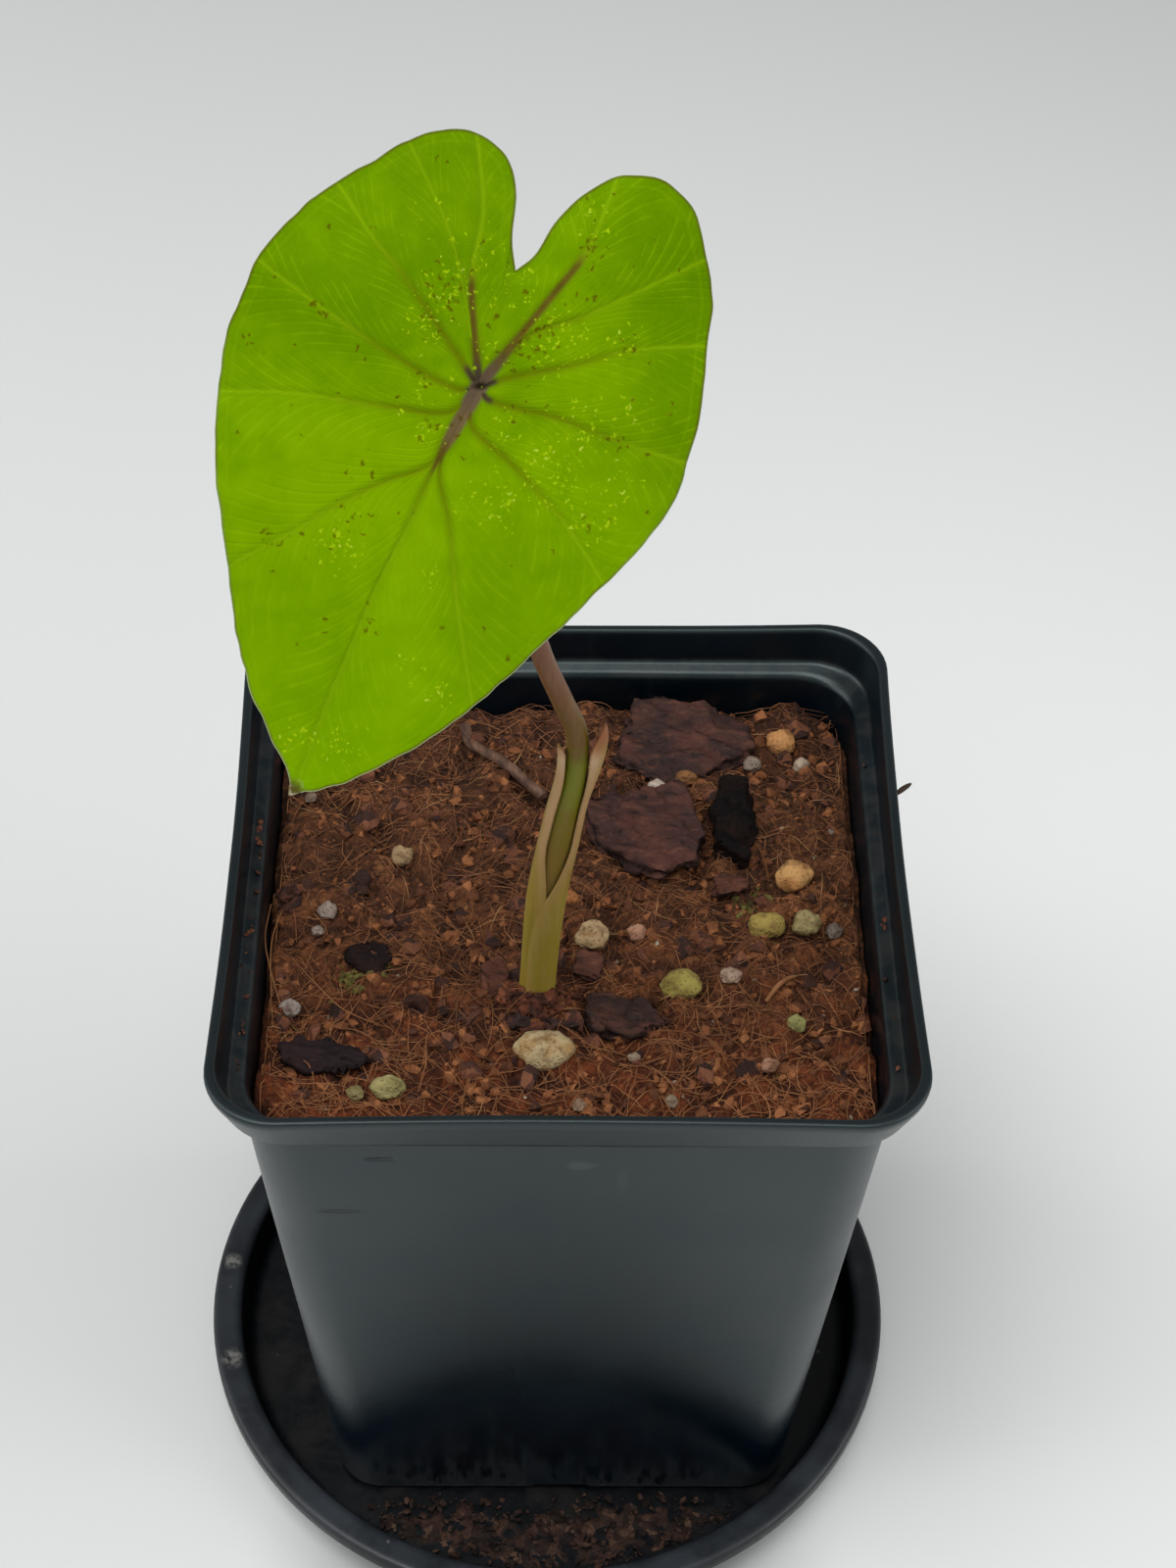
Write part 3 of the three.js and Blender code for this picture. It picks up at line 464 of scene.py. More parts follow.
def loft_square(bm, outline, corner):
    """Extrudes a rounded square through a section of (half width, height), shut at both ends."""
    outline = outline_without_repeats(outline)
    loop = square_outline(bm, outline[0].x, corner * outline[0].x / BODY_TOP_HALF, outline[0].y)
    bmesh.ops.contextual_create(bm, geom=loop)
    middle = Matrix.Translation((-POT_X, -POT_Y, 0))
    for here, there in zip(outline, outline[1:]):
        grown = bmesh.ops.extrude_edge_only(bm, edges=loop)["geom"]
        verts = [g for g in grown if isinstance(g, bmesh.types.BMVert)]
        loop = [g for g in grown if isinstance(g, bmesh.types.BMEdge)]
        ratio = there.x / here.x
        bmesh.ops.scale(bm, vec=(ratio, ratio, 1), space=middle, verts=verts)
        bmesh.ops.translate(bm, vec=(0, 0, there.y - here.y), verts=verts)
    bmesh.ops.contextual_create(bm, geom=loop)


def pot_shape():
    """The pot's wall as one section, bowed in a little at the rim and uneven along its sides."""
    band = POT_RIM - BAND_DROP
    ledge = POT_RIM - LEDGE_DROP
    section = eased([
        (15.0, POT_BOTTOM + 1.2, 0),
        (BODY_BOTTOM_HALF - 2.6, POT_BOTTOM + 1.2, 0.3),
        (BODY_BOTTOM_HALF - 2.4, POT_BOTTOM, 0.25),
        (BODY_BOTTOM_HALF, POT_BOTTOM, 0.8),
        (BODY_TOP_HALF, band, 0.3),
        (BODY_TOP_HALF + 1.9, band + 0.2, 0.7),
        (RIM_HALF - 0.05, POT_RIM - 1.1, 0.8),
        (RIM_HALF, POT_RIM, 0.6),
        (RIM_HALF - 1.3, POT_RIM, 0.5),
        (BODY_TOP_HALF + 1.3, ledge, 0.5),
        (BODY_TOP_HALF - 0.9, ledge - 0.7, 0.9),
        (body_half(band - 1.2) - POT_WALL, band - 1.6, 0.4),
        (body_half(FLOOR_TOP) - POT_WALL, FLOOR_TOP, 1.4),
        (15.0, FLOOR_TOP, 0),
    ])
    bm = bmesh.new()
    loft_square(bm, section, BODY_CORNER)
    for v in bm.verts:
        px, py = v.co.x - POT_X, v.co.y - POT_Y
        out = max(abs(px), abs(py))
        flat = max(0.0, 1 - (min(abs(px), abs(py)) / (RIM_HALF - 9.6)) ** 2)
        rim = ease_between(v.co.z, band, POT_RIM)
        sway = 0.16 * noise.noise((px / 26, py / 26, v.co.z / 34)) * ease_between(v.co.z, 12, 40)
        pull = (RIM_BOW * rim * flat - sway * flat) / out
        v.co.x -= px * pull * (abs(px) >= abs(py))
        v.co.y -= py * pull * (abs(py) > abs(px))
    bmesh.ops.recalc_face_normals(bm, faces=bm.faces)
    return bm


def pot_cutters():
    """Drain holes in the floor and notches in the foot."""
    bm = bmesh.new()
    holes = [(0.0, 0.0)] + [(sx * DRAIN_REACH, sy * DRAIN_REACH) for sx in (-1, 1) for sy in (-1, 1)]
    for x, y in holes:
        bmesh.ops.create_cone(
            bm, cap_ends=True, segments=40, radius1=DRAIN_RADIUS, radius2=DRAIN_RADIUS, depth=8,
            matrix=Matrix.Translation((POT_X + x, POT_Y + y, POT_BOTTOM + 2)),
        )
    for k in range(4):
        turn = Matrix.Translation((POT_X, POT_Y, POT_BOTTOM)) @ Matrix.Rotation(k * math.pi / 2, 4, "Z")
        place = turn @ Matrix.Translation((0, BODY_BOTTOM_HALF, 0)) @ Matrix.Diagonal((8, 10, 2.3, 1))
        bmesh.ops.create_cube(bm, size=1, matrix=place)
    return bm


def cut_away(shape, cutters):
    """The first bmesh less the second, as a mesh in metres."""
    objects = []
    for bm in (shape, cutters):
        mesh = bpy.data.meshes.new("cut")
        bmesh.ops.scale(bm, vec=(MM, MM, MM), verts=bm.verts)
        bm.to_mesh(mesh)
        bm.free()
        objects.append(loose_object("cut", mesh))
    trim = objects[0].modifiers.new("trim", "BOOLEAN")
    trim.object = objects[1]
    trim.solver = "EXACT"
    mesh = evaluated(objects[0])
    bpy.data.objects.remove(objects[1])
    return mesh


# Potting mix
def soil_place(gx, gy):
    """Point of a square from -1 to 1, moved into the square with round corners."""
    level = max(abs(gx), abs(gy), 1e-9)
    p = Vector((gx, gy)) * SOIL_HALF / level
    flat = SOIL_HALF - SOIL_CORNER
    core = Vector((min(max(p.x, -flat), flat), min(max(p.y, -flat), flat)))
    out = p - core
    if abs(out.x) > 1e-6 and abs(out.y) > 1e-6:
        out = out.normalized() * SOIL_CORNER
    return (core + out) * level, level


def soil_shape():
    """The mix: a loose surface, with the plain block that fills the pot under it."""
    bm = bmesh.new()
    bmesh.ops.create_grid(bm, x_segments=290, y_segments=290, size=1)
    relief_for_painted_shade = bm.verts.layers.float.new("relief_for_painted_shade")
    for v in bm.verts:
        p, level = soil_place(v.co.x, v.co.y)
        x, y = p.x + POT_X, p.y + POT_Y
        relief = crumb_relief(x, y)
        wall = ease_between(level, 0.965, 1.0)
        v[relief_for_painted_shade] = relief
        v.co = (x, y, soil_height(x, y) + relief - 1.6 * wall)
    rim = [e for e in bm.edges if e.is_boundary]
    drop = bmesh.ops.extrude_edge_only(bm, edges=rim)["geom"]
    verts = [g for g in drop if isinstance(g, bmesh.types.BMVert)]
    narrow = (body_half(SOIL_BASE) - POT_WALL - 0.9) / SOIL_HALF
    middle = Matrix.Translation((-POT_X, -POT_Y, 0))
    bmesh.ops.scale(bm, vec=(narrow, narrow, 1), space=middle, verts=verts)
    for v in verts:
        v.co.z = SOIL_BASE
    bmesh.ops.contextual_create(bm, geom=[g for g in drop if isinstance(g, bmesh.types.BMEdge)])
    bmesh.ops.recalc_face_normals(bm, faces=bm.faces)
    return bm


def spot_in_pot(draw, margin=1.0):
    """A random place on the mix, clear of the stalk."""
    while True:
        p, _ = soil_place(draw.uniform(-1, 1), draw.uniform(-1, 1))
        x, y = p.x * (1 - margin / SOIL_HALF) + POT_X, p.y * (1 - margin / SOIL_HALF) + POT_Y
        if math.hypot(x - STEM_X, y - STEM_Y) > STEM_CLEARANCE:
            return x, y


def keep_in_pot(x, y):
    """The nearest place inside the pot's wall."""
    reach = SOIL_HALF - 1.0
    return min(max(x, POT_X - reach), POT_X + reach), min(max(y, POT_Y - reach), POT_Y + reach)


def coir_routes(seed, count, shortest, longest, thin, thick):
    """Curved fibres that lie on the mix, each with its ends tucked in."""
    draw = random.Random(seed)
    routes = []
    for _ in range(count):
        x, y = spot_in_pot(draw)
        turn = draw.uniform(0, 2 * math.pi)
        bend = draw.uniform(-0.9, 0.9)
        length = draw.uniform(shortest, longest)
        radius = draw.uniform(thin, thick)
        arch = draw.uniform(0.0, 0.9)
        points = 6
        route = []
        for k in range(points):
            t = k / (points - 1)
            x, y = keep_in_pot(x, y)
            lift = arch * math.sin(math.pi * t) + radius * 0.4 - 0.15 * (k in (0, points - 1))
            route.append((x, y, ground(x, y) + lift, radius * (1 - 0.5 * abs(2 * t - 1))))
            turn += bend * 0.35 + draw.uniform(-0.25, 0.25)
            x += math.cos(turn) * length / points
            y += math.sin(turn) * length / points
        routes.append(route)
    return routes


def crumb_shape(seed, count, small, large, place):
    """Small broken lumps, each at a place drawn by a function."""
    draw = random.Random(seed)
    whole = bmesh.new()
    batch = bmesh.new()
    mesh = bpy.data.meshes.new("batch")
    for k in range(count):
        x, y, z = place(draw)
        size = small + (large - small) * draw.random() ** 2.5
        squash = draw.uniform(0.35, 0.8)
        matrix = (
            Matrix.Translation((x, y, z + size * 0.12))
            @ Matrix.Rotation(draw.uniform(0, math.pi), 4, "Z")
            @ Matrix.Rotation(draw.uniform(-0.6, 0.6), 4, "X")
            @ Matrix.Diagonal((size, size * draw.uniform(0.45, 1.0), size * squash, 1))
        )
        made = bmesh.ops.create_icosphere(batch, subdivisions=1, radius=1, matrix=matrix)["verts"]
        for v in made:
            v.co += Vector((draw.uniform(-1, 1), draw.uniform(-1, 1), draw.uniform(-1, 1))) * size * 0.3
        if len(batch.verts) > 1200 or k == count - 1:
            batch.to_mesh(mesh)
            whole.from_mesh(mesh)
            batch.clear()
    batch.free()
    bpy.data.meshes.remove(mesh)
    return whole


def on_mix(draw):
    x, y = spot_in_pot(draw)
    return x, y, ground(x, y)


def close_to(spots, spread):
    """A rule for places on the mix close to some spots."""
    def place(draw):
        x, y = draw.choice(spots)
        x, y = keep_in_pot(x + draw.gauss(0, spread), y + draw.gauss(0, spread))
        return x, y, ground(x, y)
    return place


def by_the_stem(draw):
    """Places in a ring round the foot of the sheath, most of them in front."""
    way = draw.gauss(-math.pi / 2, 1.3)
    reach = SHEATH_RADIUS + abs(draw.gauss(0.1, 1.1))
    x, y = STEM_X + reach * math.cos(way), STEM_Y + reach * math.sin(way)
    return x, y, ground(x, y) + 0.15


def stray_route(points):
    """A strand laid over the mix: each point gives its place, its height over the mix and its radius."""
    lifted = [(x, y, ground(x, y) + lift, radius) for x, y, lift, radius in points]
    return smooth_route(lifted, 5)


def on_ledge(draw):
    """Places on the pot's inner ledge, most of them on the left and near left."""
    side = draw.random()
    ledge = POT_RIM - LEDGE_DROP - 0.35
    across = draw.uniform(-0.55, 0.55)
    if side < 0.6:
        return POT_X - LEDGE_MIDDLE + across, POT_Y + draw.uniform(-33, 12), ledge
    if side < 0.8:
        return POT_X + draw.uniform(-33, 33), POT_Y - LEDGE_MIDDLE + across, ledge
    return POT_X + LEDGE_MIDDLE + across, POT_Y + draw.uniform(-33, 30), ledge


def spill_spot(draw):
    """A place for a crumb of the spilled mix."""
    low, high = box_mm("spilled_mix")
    while True:
        x = draw.uniform(low.x, high.x)
        y = draw.uniform(low.y, high.y)
        on_floor = math.hypot(x, y) < SAUCER_FLOOR_RADIUS - 0.9
        if on_floor and y < SPILL_CRUMBS_BACK - 0.8 * spill_notch(x) + draw.uniform(-1.0, 1.2):
            return x, y, SAUCER_FLOOR + 0.1 + 0.5 * draw.random()


def spill_notch(x):
    """How far the spilled mix keeps off the pot: most left of the middle and at its ends."""
    return 3.0 * math.exp(-(((x + 3.5) / 4.6) ** 2)) + 2.6 * abs(x / 27.0) ** 3


def spill_shape():
    """A thin heap of mix that thins out to its edges."""
    low, high = box_mm("spilled_mix")
    half = (high.x - low.x) / 2
    bm = bmesh.new()
    bmesh.ops.create_grid(bm, x_segments=150, y_segments=36, size=1)
    for v in bm.verts:
        x = v.co.x * half
        t = (v.co.y + 1) / 2
        front = -math.sqrt(SPILL_FRONT_RADIUS ** 2 - x * x)
        back = SPILL_BACK - spill_notch(x) - 1.1 * noise.noise((x / 2.9, 3.0, 1.0))
        y = front + (back - front) * t
        heap = math.sin(math.pi * t) * max(0.0, 1 - v.co.x ** 4) ** 0.5
        rough = noise.turbulence((x / 2.2, y / 2.2, 2.0), 3, False)
        v.co = (x, y, SAUCER_FLOOR - 0.15 + heap * (0.35 + 0.85 * rough))
    flat = bmesh.ops.extrude_face_region(bm, geom=bm.faces[:] + bm.edges[:])["geom"]
    for v in flat:
        if isinstance(v, bmesh.types.BMVert):
            v.co.z = SAUCER_FLOOR - 0.25
    bmesh.ops.recalc_face_normals(bm, faces=bm.faces)
    return bm


# Grains and bark keep the form of their nodes, and get a broken or pitted surface
def merged_copy(node):
    """A node's mesh as a welded bmesh in millimetres."""
    bm = bmesh.new()
    bm.from_mesh(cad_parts[node].data)
    bmesh.ops.scale(bm, vec=(1 / MM, 1 / MM, 1 / MM), verts=bm.verts)
    bmesh.ops.remove_doubles(bm, verts=bm.verts, dist=1e-3)
    return bm


def soften(bm, times):
    """Draws each point towards its neighbours."""
    for _ in range(times):
        bmesh.ops.smooth_vert(
            bm, verts=bm.verts, factor=0.5, use_axis_x=True, use_axis_y=True, use_axis_z=True,
        )


def grain_shape(node):
    """A grain of crushed stone: lumpy, with pores sunk in it."""
    bm = merged_copy(node)
    fine = len(bm.faces) > 40
    bmesh.ops.subdivide_edges(bm, edges=bm.edges, cuts=5 if fine else 9, use_grid_fill=True)
    low, high = box_mm(node)
    middle = (low + high) / 2
    size = (high - low).length / 2
    soften(bm, 6)
    bm.normal_update()
    moves = []
    for v in bm.verts:
        p = v.co / (size * 0.55) + Vector((middle.x, middle.y, 0))
        lump = noise.noise(p) * 0.09 + noise.noise(p * 2.7) * 0.04
        near = noise.voronoi(v.co / 0.85)[0][0]
        pit = max(0.0, 1 - near / 0.42)
        moves.append(v.normal * (size * lump - 0.16 * pit + 0.03 * noise.noise(v.co * 5)))
    for v, move in zip(bm.verts, moves):
        v.co += move
    # The form shrank a little as it was softened
    regain = 1.04
    bmesh.ops.scale(bm, vec=(regain,) * 3, space=Matrix.Translation(-middle), verts=bm.verts)
    return bm


def flake_shape(node, grow, shift):
    """A chip of bark: the node's form, made wider, broken off all round and split in thin layers."""
    bm = merged_copy(node)
    draw = random.Random(node)
    low, high = box_mm(node)
    middle = (low + high) / 2
    half = (high - low) / 2
    across, deep, thick = grow
    spare = 1.3
    bmesh.ops.scale(
        bm, vec=(spare * across, spare * deep, thick), space=Matrix.Translation(-middle), verts=bm.verts,
    )
    start = draw.uniform(0, math.pi)
    breaks = 5
    for k in range(breaks):
        way = start + (k + draw.uniform(-0.32, 0.32)) * 2 * math.pi / breaks
        out = Vector((math.cos(way), math.sin(way), draw.uniform(-0.2, 0.3))).normalized()
        reach = math.hypot(half.x * across * out.x, half.y * deep * out.y) * draw.uniform(0.8, 1.04)
        cut = bmesh.ops.bisect_plane(
            bm, geom=bm.verts[:] + bm.edges[:] + bm.faces[:], plane_co=middle + out * reach, plane_no=out,
            clear_outer=True,
        )
        rim = [g for g in cut["geom_cut"] if isinstance(g, bmesh.types.BMEdge)]
        if rim:
            bmesh.ops.contextual_create(bm, geom=rim)
    bmesh.ops.translate(bm, vec=shift, verts=bm.verts)
    bmesh.ops.remove_doubles(bm, verts=bm.verts, dist=1e-3)
    fine = 0.5 if half.length > 5 else 0.35
    for _ in range(5):
        bmesh.ops.triangulate(bm, faces=bm.faces)
        long = [e for e in bm.edges if e.calc_length() > fine * 1.6]
        if not long:
            break
        bmesh.ops.subdivide_edges(bm, edges=long, cuts=1)
    bmesh.ops.triangulate(bm, faces=bm.faces)
    soften(bm, 1)
    ragged = min(1.0, half.length / 6)
    for v in bm.verts:
        p = v.co
        broad = noise.noise_vector(p / 3.4)
        small = noise.noise_vector(p / 1.3)
        v.co += Vector((broad.x, broad.y, 0.5 * broad.z)) * 1.0 * ragged + Vector(small) * 0.3 * ragged
    bm.normal_update()
    moves = []
    for v in bm.verts:
        p = v.co
        along_x = p.x * math.cos(BARK_TURN) + p.y * math.sin(BARK_TURN)
        along_y = p.y * math.cos(BARK_TURN) - p.x * math.sin(BARK_TURN)
        grain = noise.noise((along_x / 6.5, along_y / 1.9, p.z / 1.4))
        grain += 0.35 * noise.noise((along_x / 2.4, along_y / 0.9, p.z))
        layer = (math.floor(grain * 4) + ease_between((grain * 4) % 1, 0.75, 1.0)) / 4
        chip = noise.turbulence((p.x / 1.6, p.y / 1.6, p.z / 0.8), 2, False)
        moves.append(v.normal * (1.1 * layer - 0.3 * chip + 0.05 * noise.noise(p * 3.1)))
    for v, move in zip(bm.verts, moves):
        v.co += move
    return bm


def twig_shape():
    """The twig's form with its kinks eased and its skin uneven."""
    bm = merged_copy("twig")
    bmesh.ops.subdivide_edges(bm, edges=bm.edges, cuts=4, use_grid_fill=True)
    soften(bm, 3)
    bm.normal_update()
    for v in bm.verts:
        v.co += v.normal * 0.12 * noise.noise(v.co / 1.6)
    return bm


# Stalk and sheath
def petiole_route():
    """The stalk: thicker inside the sheath, square to the blade under the hub, its end inside it."""
    neck = [tuple(HUB - BLADE_FACING * depth) for depth in (1.9, 0.75)]
    bend = (-7.75, -20.1, 197.2)
    route = smooth_route(STALK_ROUTE[:-1] + [bend] + neck, 9)
    share = along(route)
    share /= share[-1]
    slim = STALK_RADIUS + (STALK_THIN - STALK_RADIUS) * ease_between(share, 0.3, 0.9)
    slim += STALK_SWELL * ease_between(route[:, 2], 140, 126)
    radius = slim + (STALK_CAP - slim) * ease_between(share, 0.95, 0.985)
    radius *= 1 - 0.45 * ease_between(share, 0.988, 1.0)
    return np.column_stack([route, radius])


STALK_LINE = smooth_route(STALK_ROUTE, 9)


def stalk_at(z):
    """Middle of the stalk at a height."""
    return (
        float(np.interp(z, STALK_LINE[:, 2], STALK_LINE[:, 0])),
        float(np.interp(z, STALK_LINE[:, 2], STALK_LINE[:, 1])),
    )


def sheath_shape():
    """A wing wrapped round the stalk: one edge laps the other below, and they part higher up."""
    bm = bmesh.new()
    bmesh.ops.create_grid(bm, x_segments=72, y_segments=150, size=1)
    edge_gap = bm.verts.layers.float.new("edge_gap")
    for v in bm.verts:
        side, t = v.co.x, (v.co.y + 1) / 2
        right = side > 0
        near_edge = ease_between(abs(side), 0.42, 0.72)
        fold = near_edge * (1 - ease_between(abs(side), 0.74, 1.0))
        ragged = 0.45 * noise.noise((side * 9, 2.0, 0.0)) - 0.8 * ease_between(abs(side), 0.93, 1.0)
        top = SHEATH_TOP - 6.5 + near_edge * 5.4 + (3.8 if right else 0.2) * fold + ragged
        z = SHEATH_FOOT + (top - SHEATH_FOOT) * t
        parting = ease_between(z, SHEATH_SPLIT - 17, SHEATH_SPLIT - 3)
        opening = -0.2 + 1.02 * parting + 0.1 * ease_between(z, SHEATH_SPLIT + 4, SHEATH_TOP)
        twist = 0.55 * (1 - ease_between(z, 103, SHEATH_SPLIT - 8))
        turn = side * (math.pi - opening) + twist
        foot = 1 - ease_between(z, 88, 99)
        belly = ease_between(z, 100, 118) * (1 - ease_between(z, 124, 138))
        flare = fold * ease_between(z, SHEATH_SPLIT + 3, SHEATH_TOP + 3) * (1.5 if right else 0.1)
        under = 0.0 if right else 0.38 * ease_between(abs(side), 0.7, 0.84) * (1 - parting)
        hug = 0.2 * ease_between(abs(side), 0.7, 1.0) * parting
        wave = 0.10 * noise.noise((side * 3, z / 6, 5.0)) * ease_between(z, 108, 138)
        radius = SHEATH_RADIUS - 0.55 + 0.3 * foot + 0.22 * belly + flare + wave - under - hug
        x, y = stalk_at(z)
        v[edge_gap] = (1 - abs(side)) * (math.pi - opening) * radius
        v.co = (x + radius * math.sin(turn), y + radius * math.cos(turn), z)
    bmesh.ops.recalc_face_normals(bm, faces=bm.faces)
    bmesh.ops.solidify(bm, geom=bm.faces[:], thickness=0.3)
    bmesh.ops.recalc_face_normals(bm, faces=bm.faces)
    return bm


# Blade
def blade_columns():
    """Place of each column of the blade on its edge, with the columns of the veins exact."""
    edge = smooth_route(BLADE_EDGE, 14)
    crinkle = [noise.noise((a / 2.2, b / 2.2, 0.0)) + noise.noise((a / 6, b / 6, 3.0)) for a, b in edge]
    edge *= 1 + 0.007 * np.array(crinkle)[:, None] * ease_between(np.hypot(*edge.T), 13, 18)[:, None]
    run = along(edge)
    run /= run[-1]
    veins = []
    for points, *_ in VEINS:
        route = smooth_route([(0.0, 0.0)] + points, 8)
        way = route[-1] - route[-3]
        toward = edge - route[-1]
        ahead = toward @ way / np.linalg.norm(way)
        aside = np.abs(toward[:, 0] * way[1] - toward[:, 1] * way[0]) / np.linalg.norm(way)
        meets = np.where(ahead > -0.5, aside + 0.02 * ahead, 1e9).argmin()
        veins.append((run[meets], np.vstack([route, edge[meets]])))
    marks = np.array([0.0] + [m for m, _ in veins] + [1.0])
    steps = np.round(marks * BLADE_COLUMNS)
    places = np.interp(np.arange(BLADE_COLUMNS + 1), steps, marks)
    return edge, run, veins, marks, places


def blade_rise(a, b, reach):
    """Rise off the plane: a drooping tip, a fold along the midrib and a waved margin."""
    droop = np.where(a > 0, -4.2 * (a / 46) ** 2, -2.4 * (a / 27) ** 2)
    fold = 0.13 * np.sqrt(b * b + 1) - 0.0058 * b * b
    return droop + fold + 0.8 * np.sin(7 * np.arctan2(b, a) + 0.6) * reach ** 3


def rib_depth(a, b):
    """How far the three great ribs stand out under the blade."""
    depth = np.zeros_like(a)
    for end, full in (((46.0, 0.0), 0.9), ((-23.5, 4.2), 0.7), ((-22.0, -10.0), 0.7)):
        length = math.hypot(*end)
        ahead = (a * end[0] + b * end[1]) / length
        aside = np.abs(a * end[1] - b * end[0]) / length
        taper = np.clip(1 - np.maximum(ahead, 0) / length, 0, 1)
        near = np.where(ahead < 0, np.hypot(ahead, aside), aside)
        depth = np.maximum(depth, full * taper * np.exp(-((near / 0.9) ** 2)))
    return depth


def patches(a, b, spots):
    """How strongly each point lies in one of the patches."""
    total = np.zeros_like(a)
    for x, y, radius, strength in spots:
        total = np.maximum(total, strength * np.exp(-((a - x) ** 2 + (b - y) ** 2) / radius ** 2 * 1.4))
    return total


def distance_to(route, a, b):
    """Distance from points to a route, and how far along it the nearest point is."""
    best = np.full(a.shape, 1e9)
    where = np.zeros_like(a)
    run = along(route)
    for k in range(len(route) - 1):
        start, way = route[k], route[k + 1] - route[k]
        size = max(way @ way, 1e-12)
        t = np.clip(((a - start[0]) * way[0] + (b - start[1]) * way[1]) / size, 0, 1)
        gap = np.hypot(a - start[0] - t * way[0], b - start[1] - t * way[1])
        closer = gap < best
        best = np.where(closer, gap, best)
        where = np.where(closer, run[k] + t * math.sqrt(size), where)
    return best, where


def blade_fields(a, b, reach, column_share, edge, veins, marks):
    """What the leaf's finish needs at each point, in millimetres or as shares."""
    vein_gap = np.full(a.shape, 1e9)
    half = np.zeros_like(a)
    dark = np.zeros_like(a)
    olive = np.zeros_like(a)
    for (_, base, tip, dark_to, olive_to), (_, route) in zip(VEINS, veins):
        gap, ahead = distance_to(route, a, b)
        length = along(route)[-1]
        width = tip + (base - tip) * np.exp(-ahead / (0.28 * length))
        if base > 0.9:
            width *= 1 - 0.6 * ease_between(ahead, 5.5, 10.6)
        if dark_to > 11:
            width = np.where(ahead < dark_to, np.maximum(width, 0.36), width)
        nearer = gap - width < vein_gap - half
        vein_gap = np.where(nearer, gap, vein_gap)
        half = np.where(nearer, width, half)
        fade = 1 - ease_between(ahead, 0.86 * dark_to, dark_to + 0.6)
        dark = np.where(nearer, fade if dark_to else 0.0, dark)
        weak = 1 - ease_between(ahead, 0.45 * olive_to, olive_to + 2)
        olive = np.where(nearer, weak if olive_to else 0.0, olive)
    margin_gap, _ = distance_to(edge, a, b)
    sector = np.clip(np.searchsorted(marks, column_share, side="right") - 1, 0, len(marks) - 2)
    inner = (column_share - marks[sector]) / (marks[sector + 1] - marks[sector])
    inner = np.where(sector == 0, 0.5 + inner / 2, inner)
    inner = np.where(sector == len(marks) - 2, inner / 2, inner)
    fork = 1 - np.abs(2 * np.clip(inner, 0, 1) - 1)
    run = reach * np.maximum(np.hypot(a, b) / np.maximum(reach, 0.05), 10.0)
    pinnate = run - 11.0 * fork ** 0.8
    return {
        "vein_gap": vein_gap, "vein_half": half, "dark": dark, "olive": olive,
        "margin_gap": margin_gap, "pinnate": pinnate, "fork": fork,
        "fleck": patches(a, b, FLECK_PATCHES), "speck": patches(a, b, SPECK_PATCHES),
        "hub_gap": np.hypot((a + 0.15) * 1.4 + (b - 0.1) * 0.5, (b - 0.1) * 0.8),
        "tip_gap": np.hypot(a - 46.6, b - 0.1),
    }


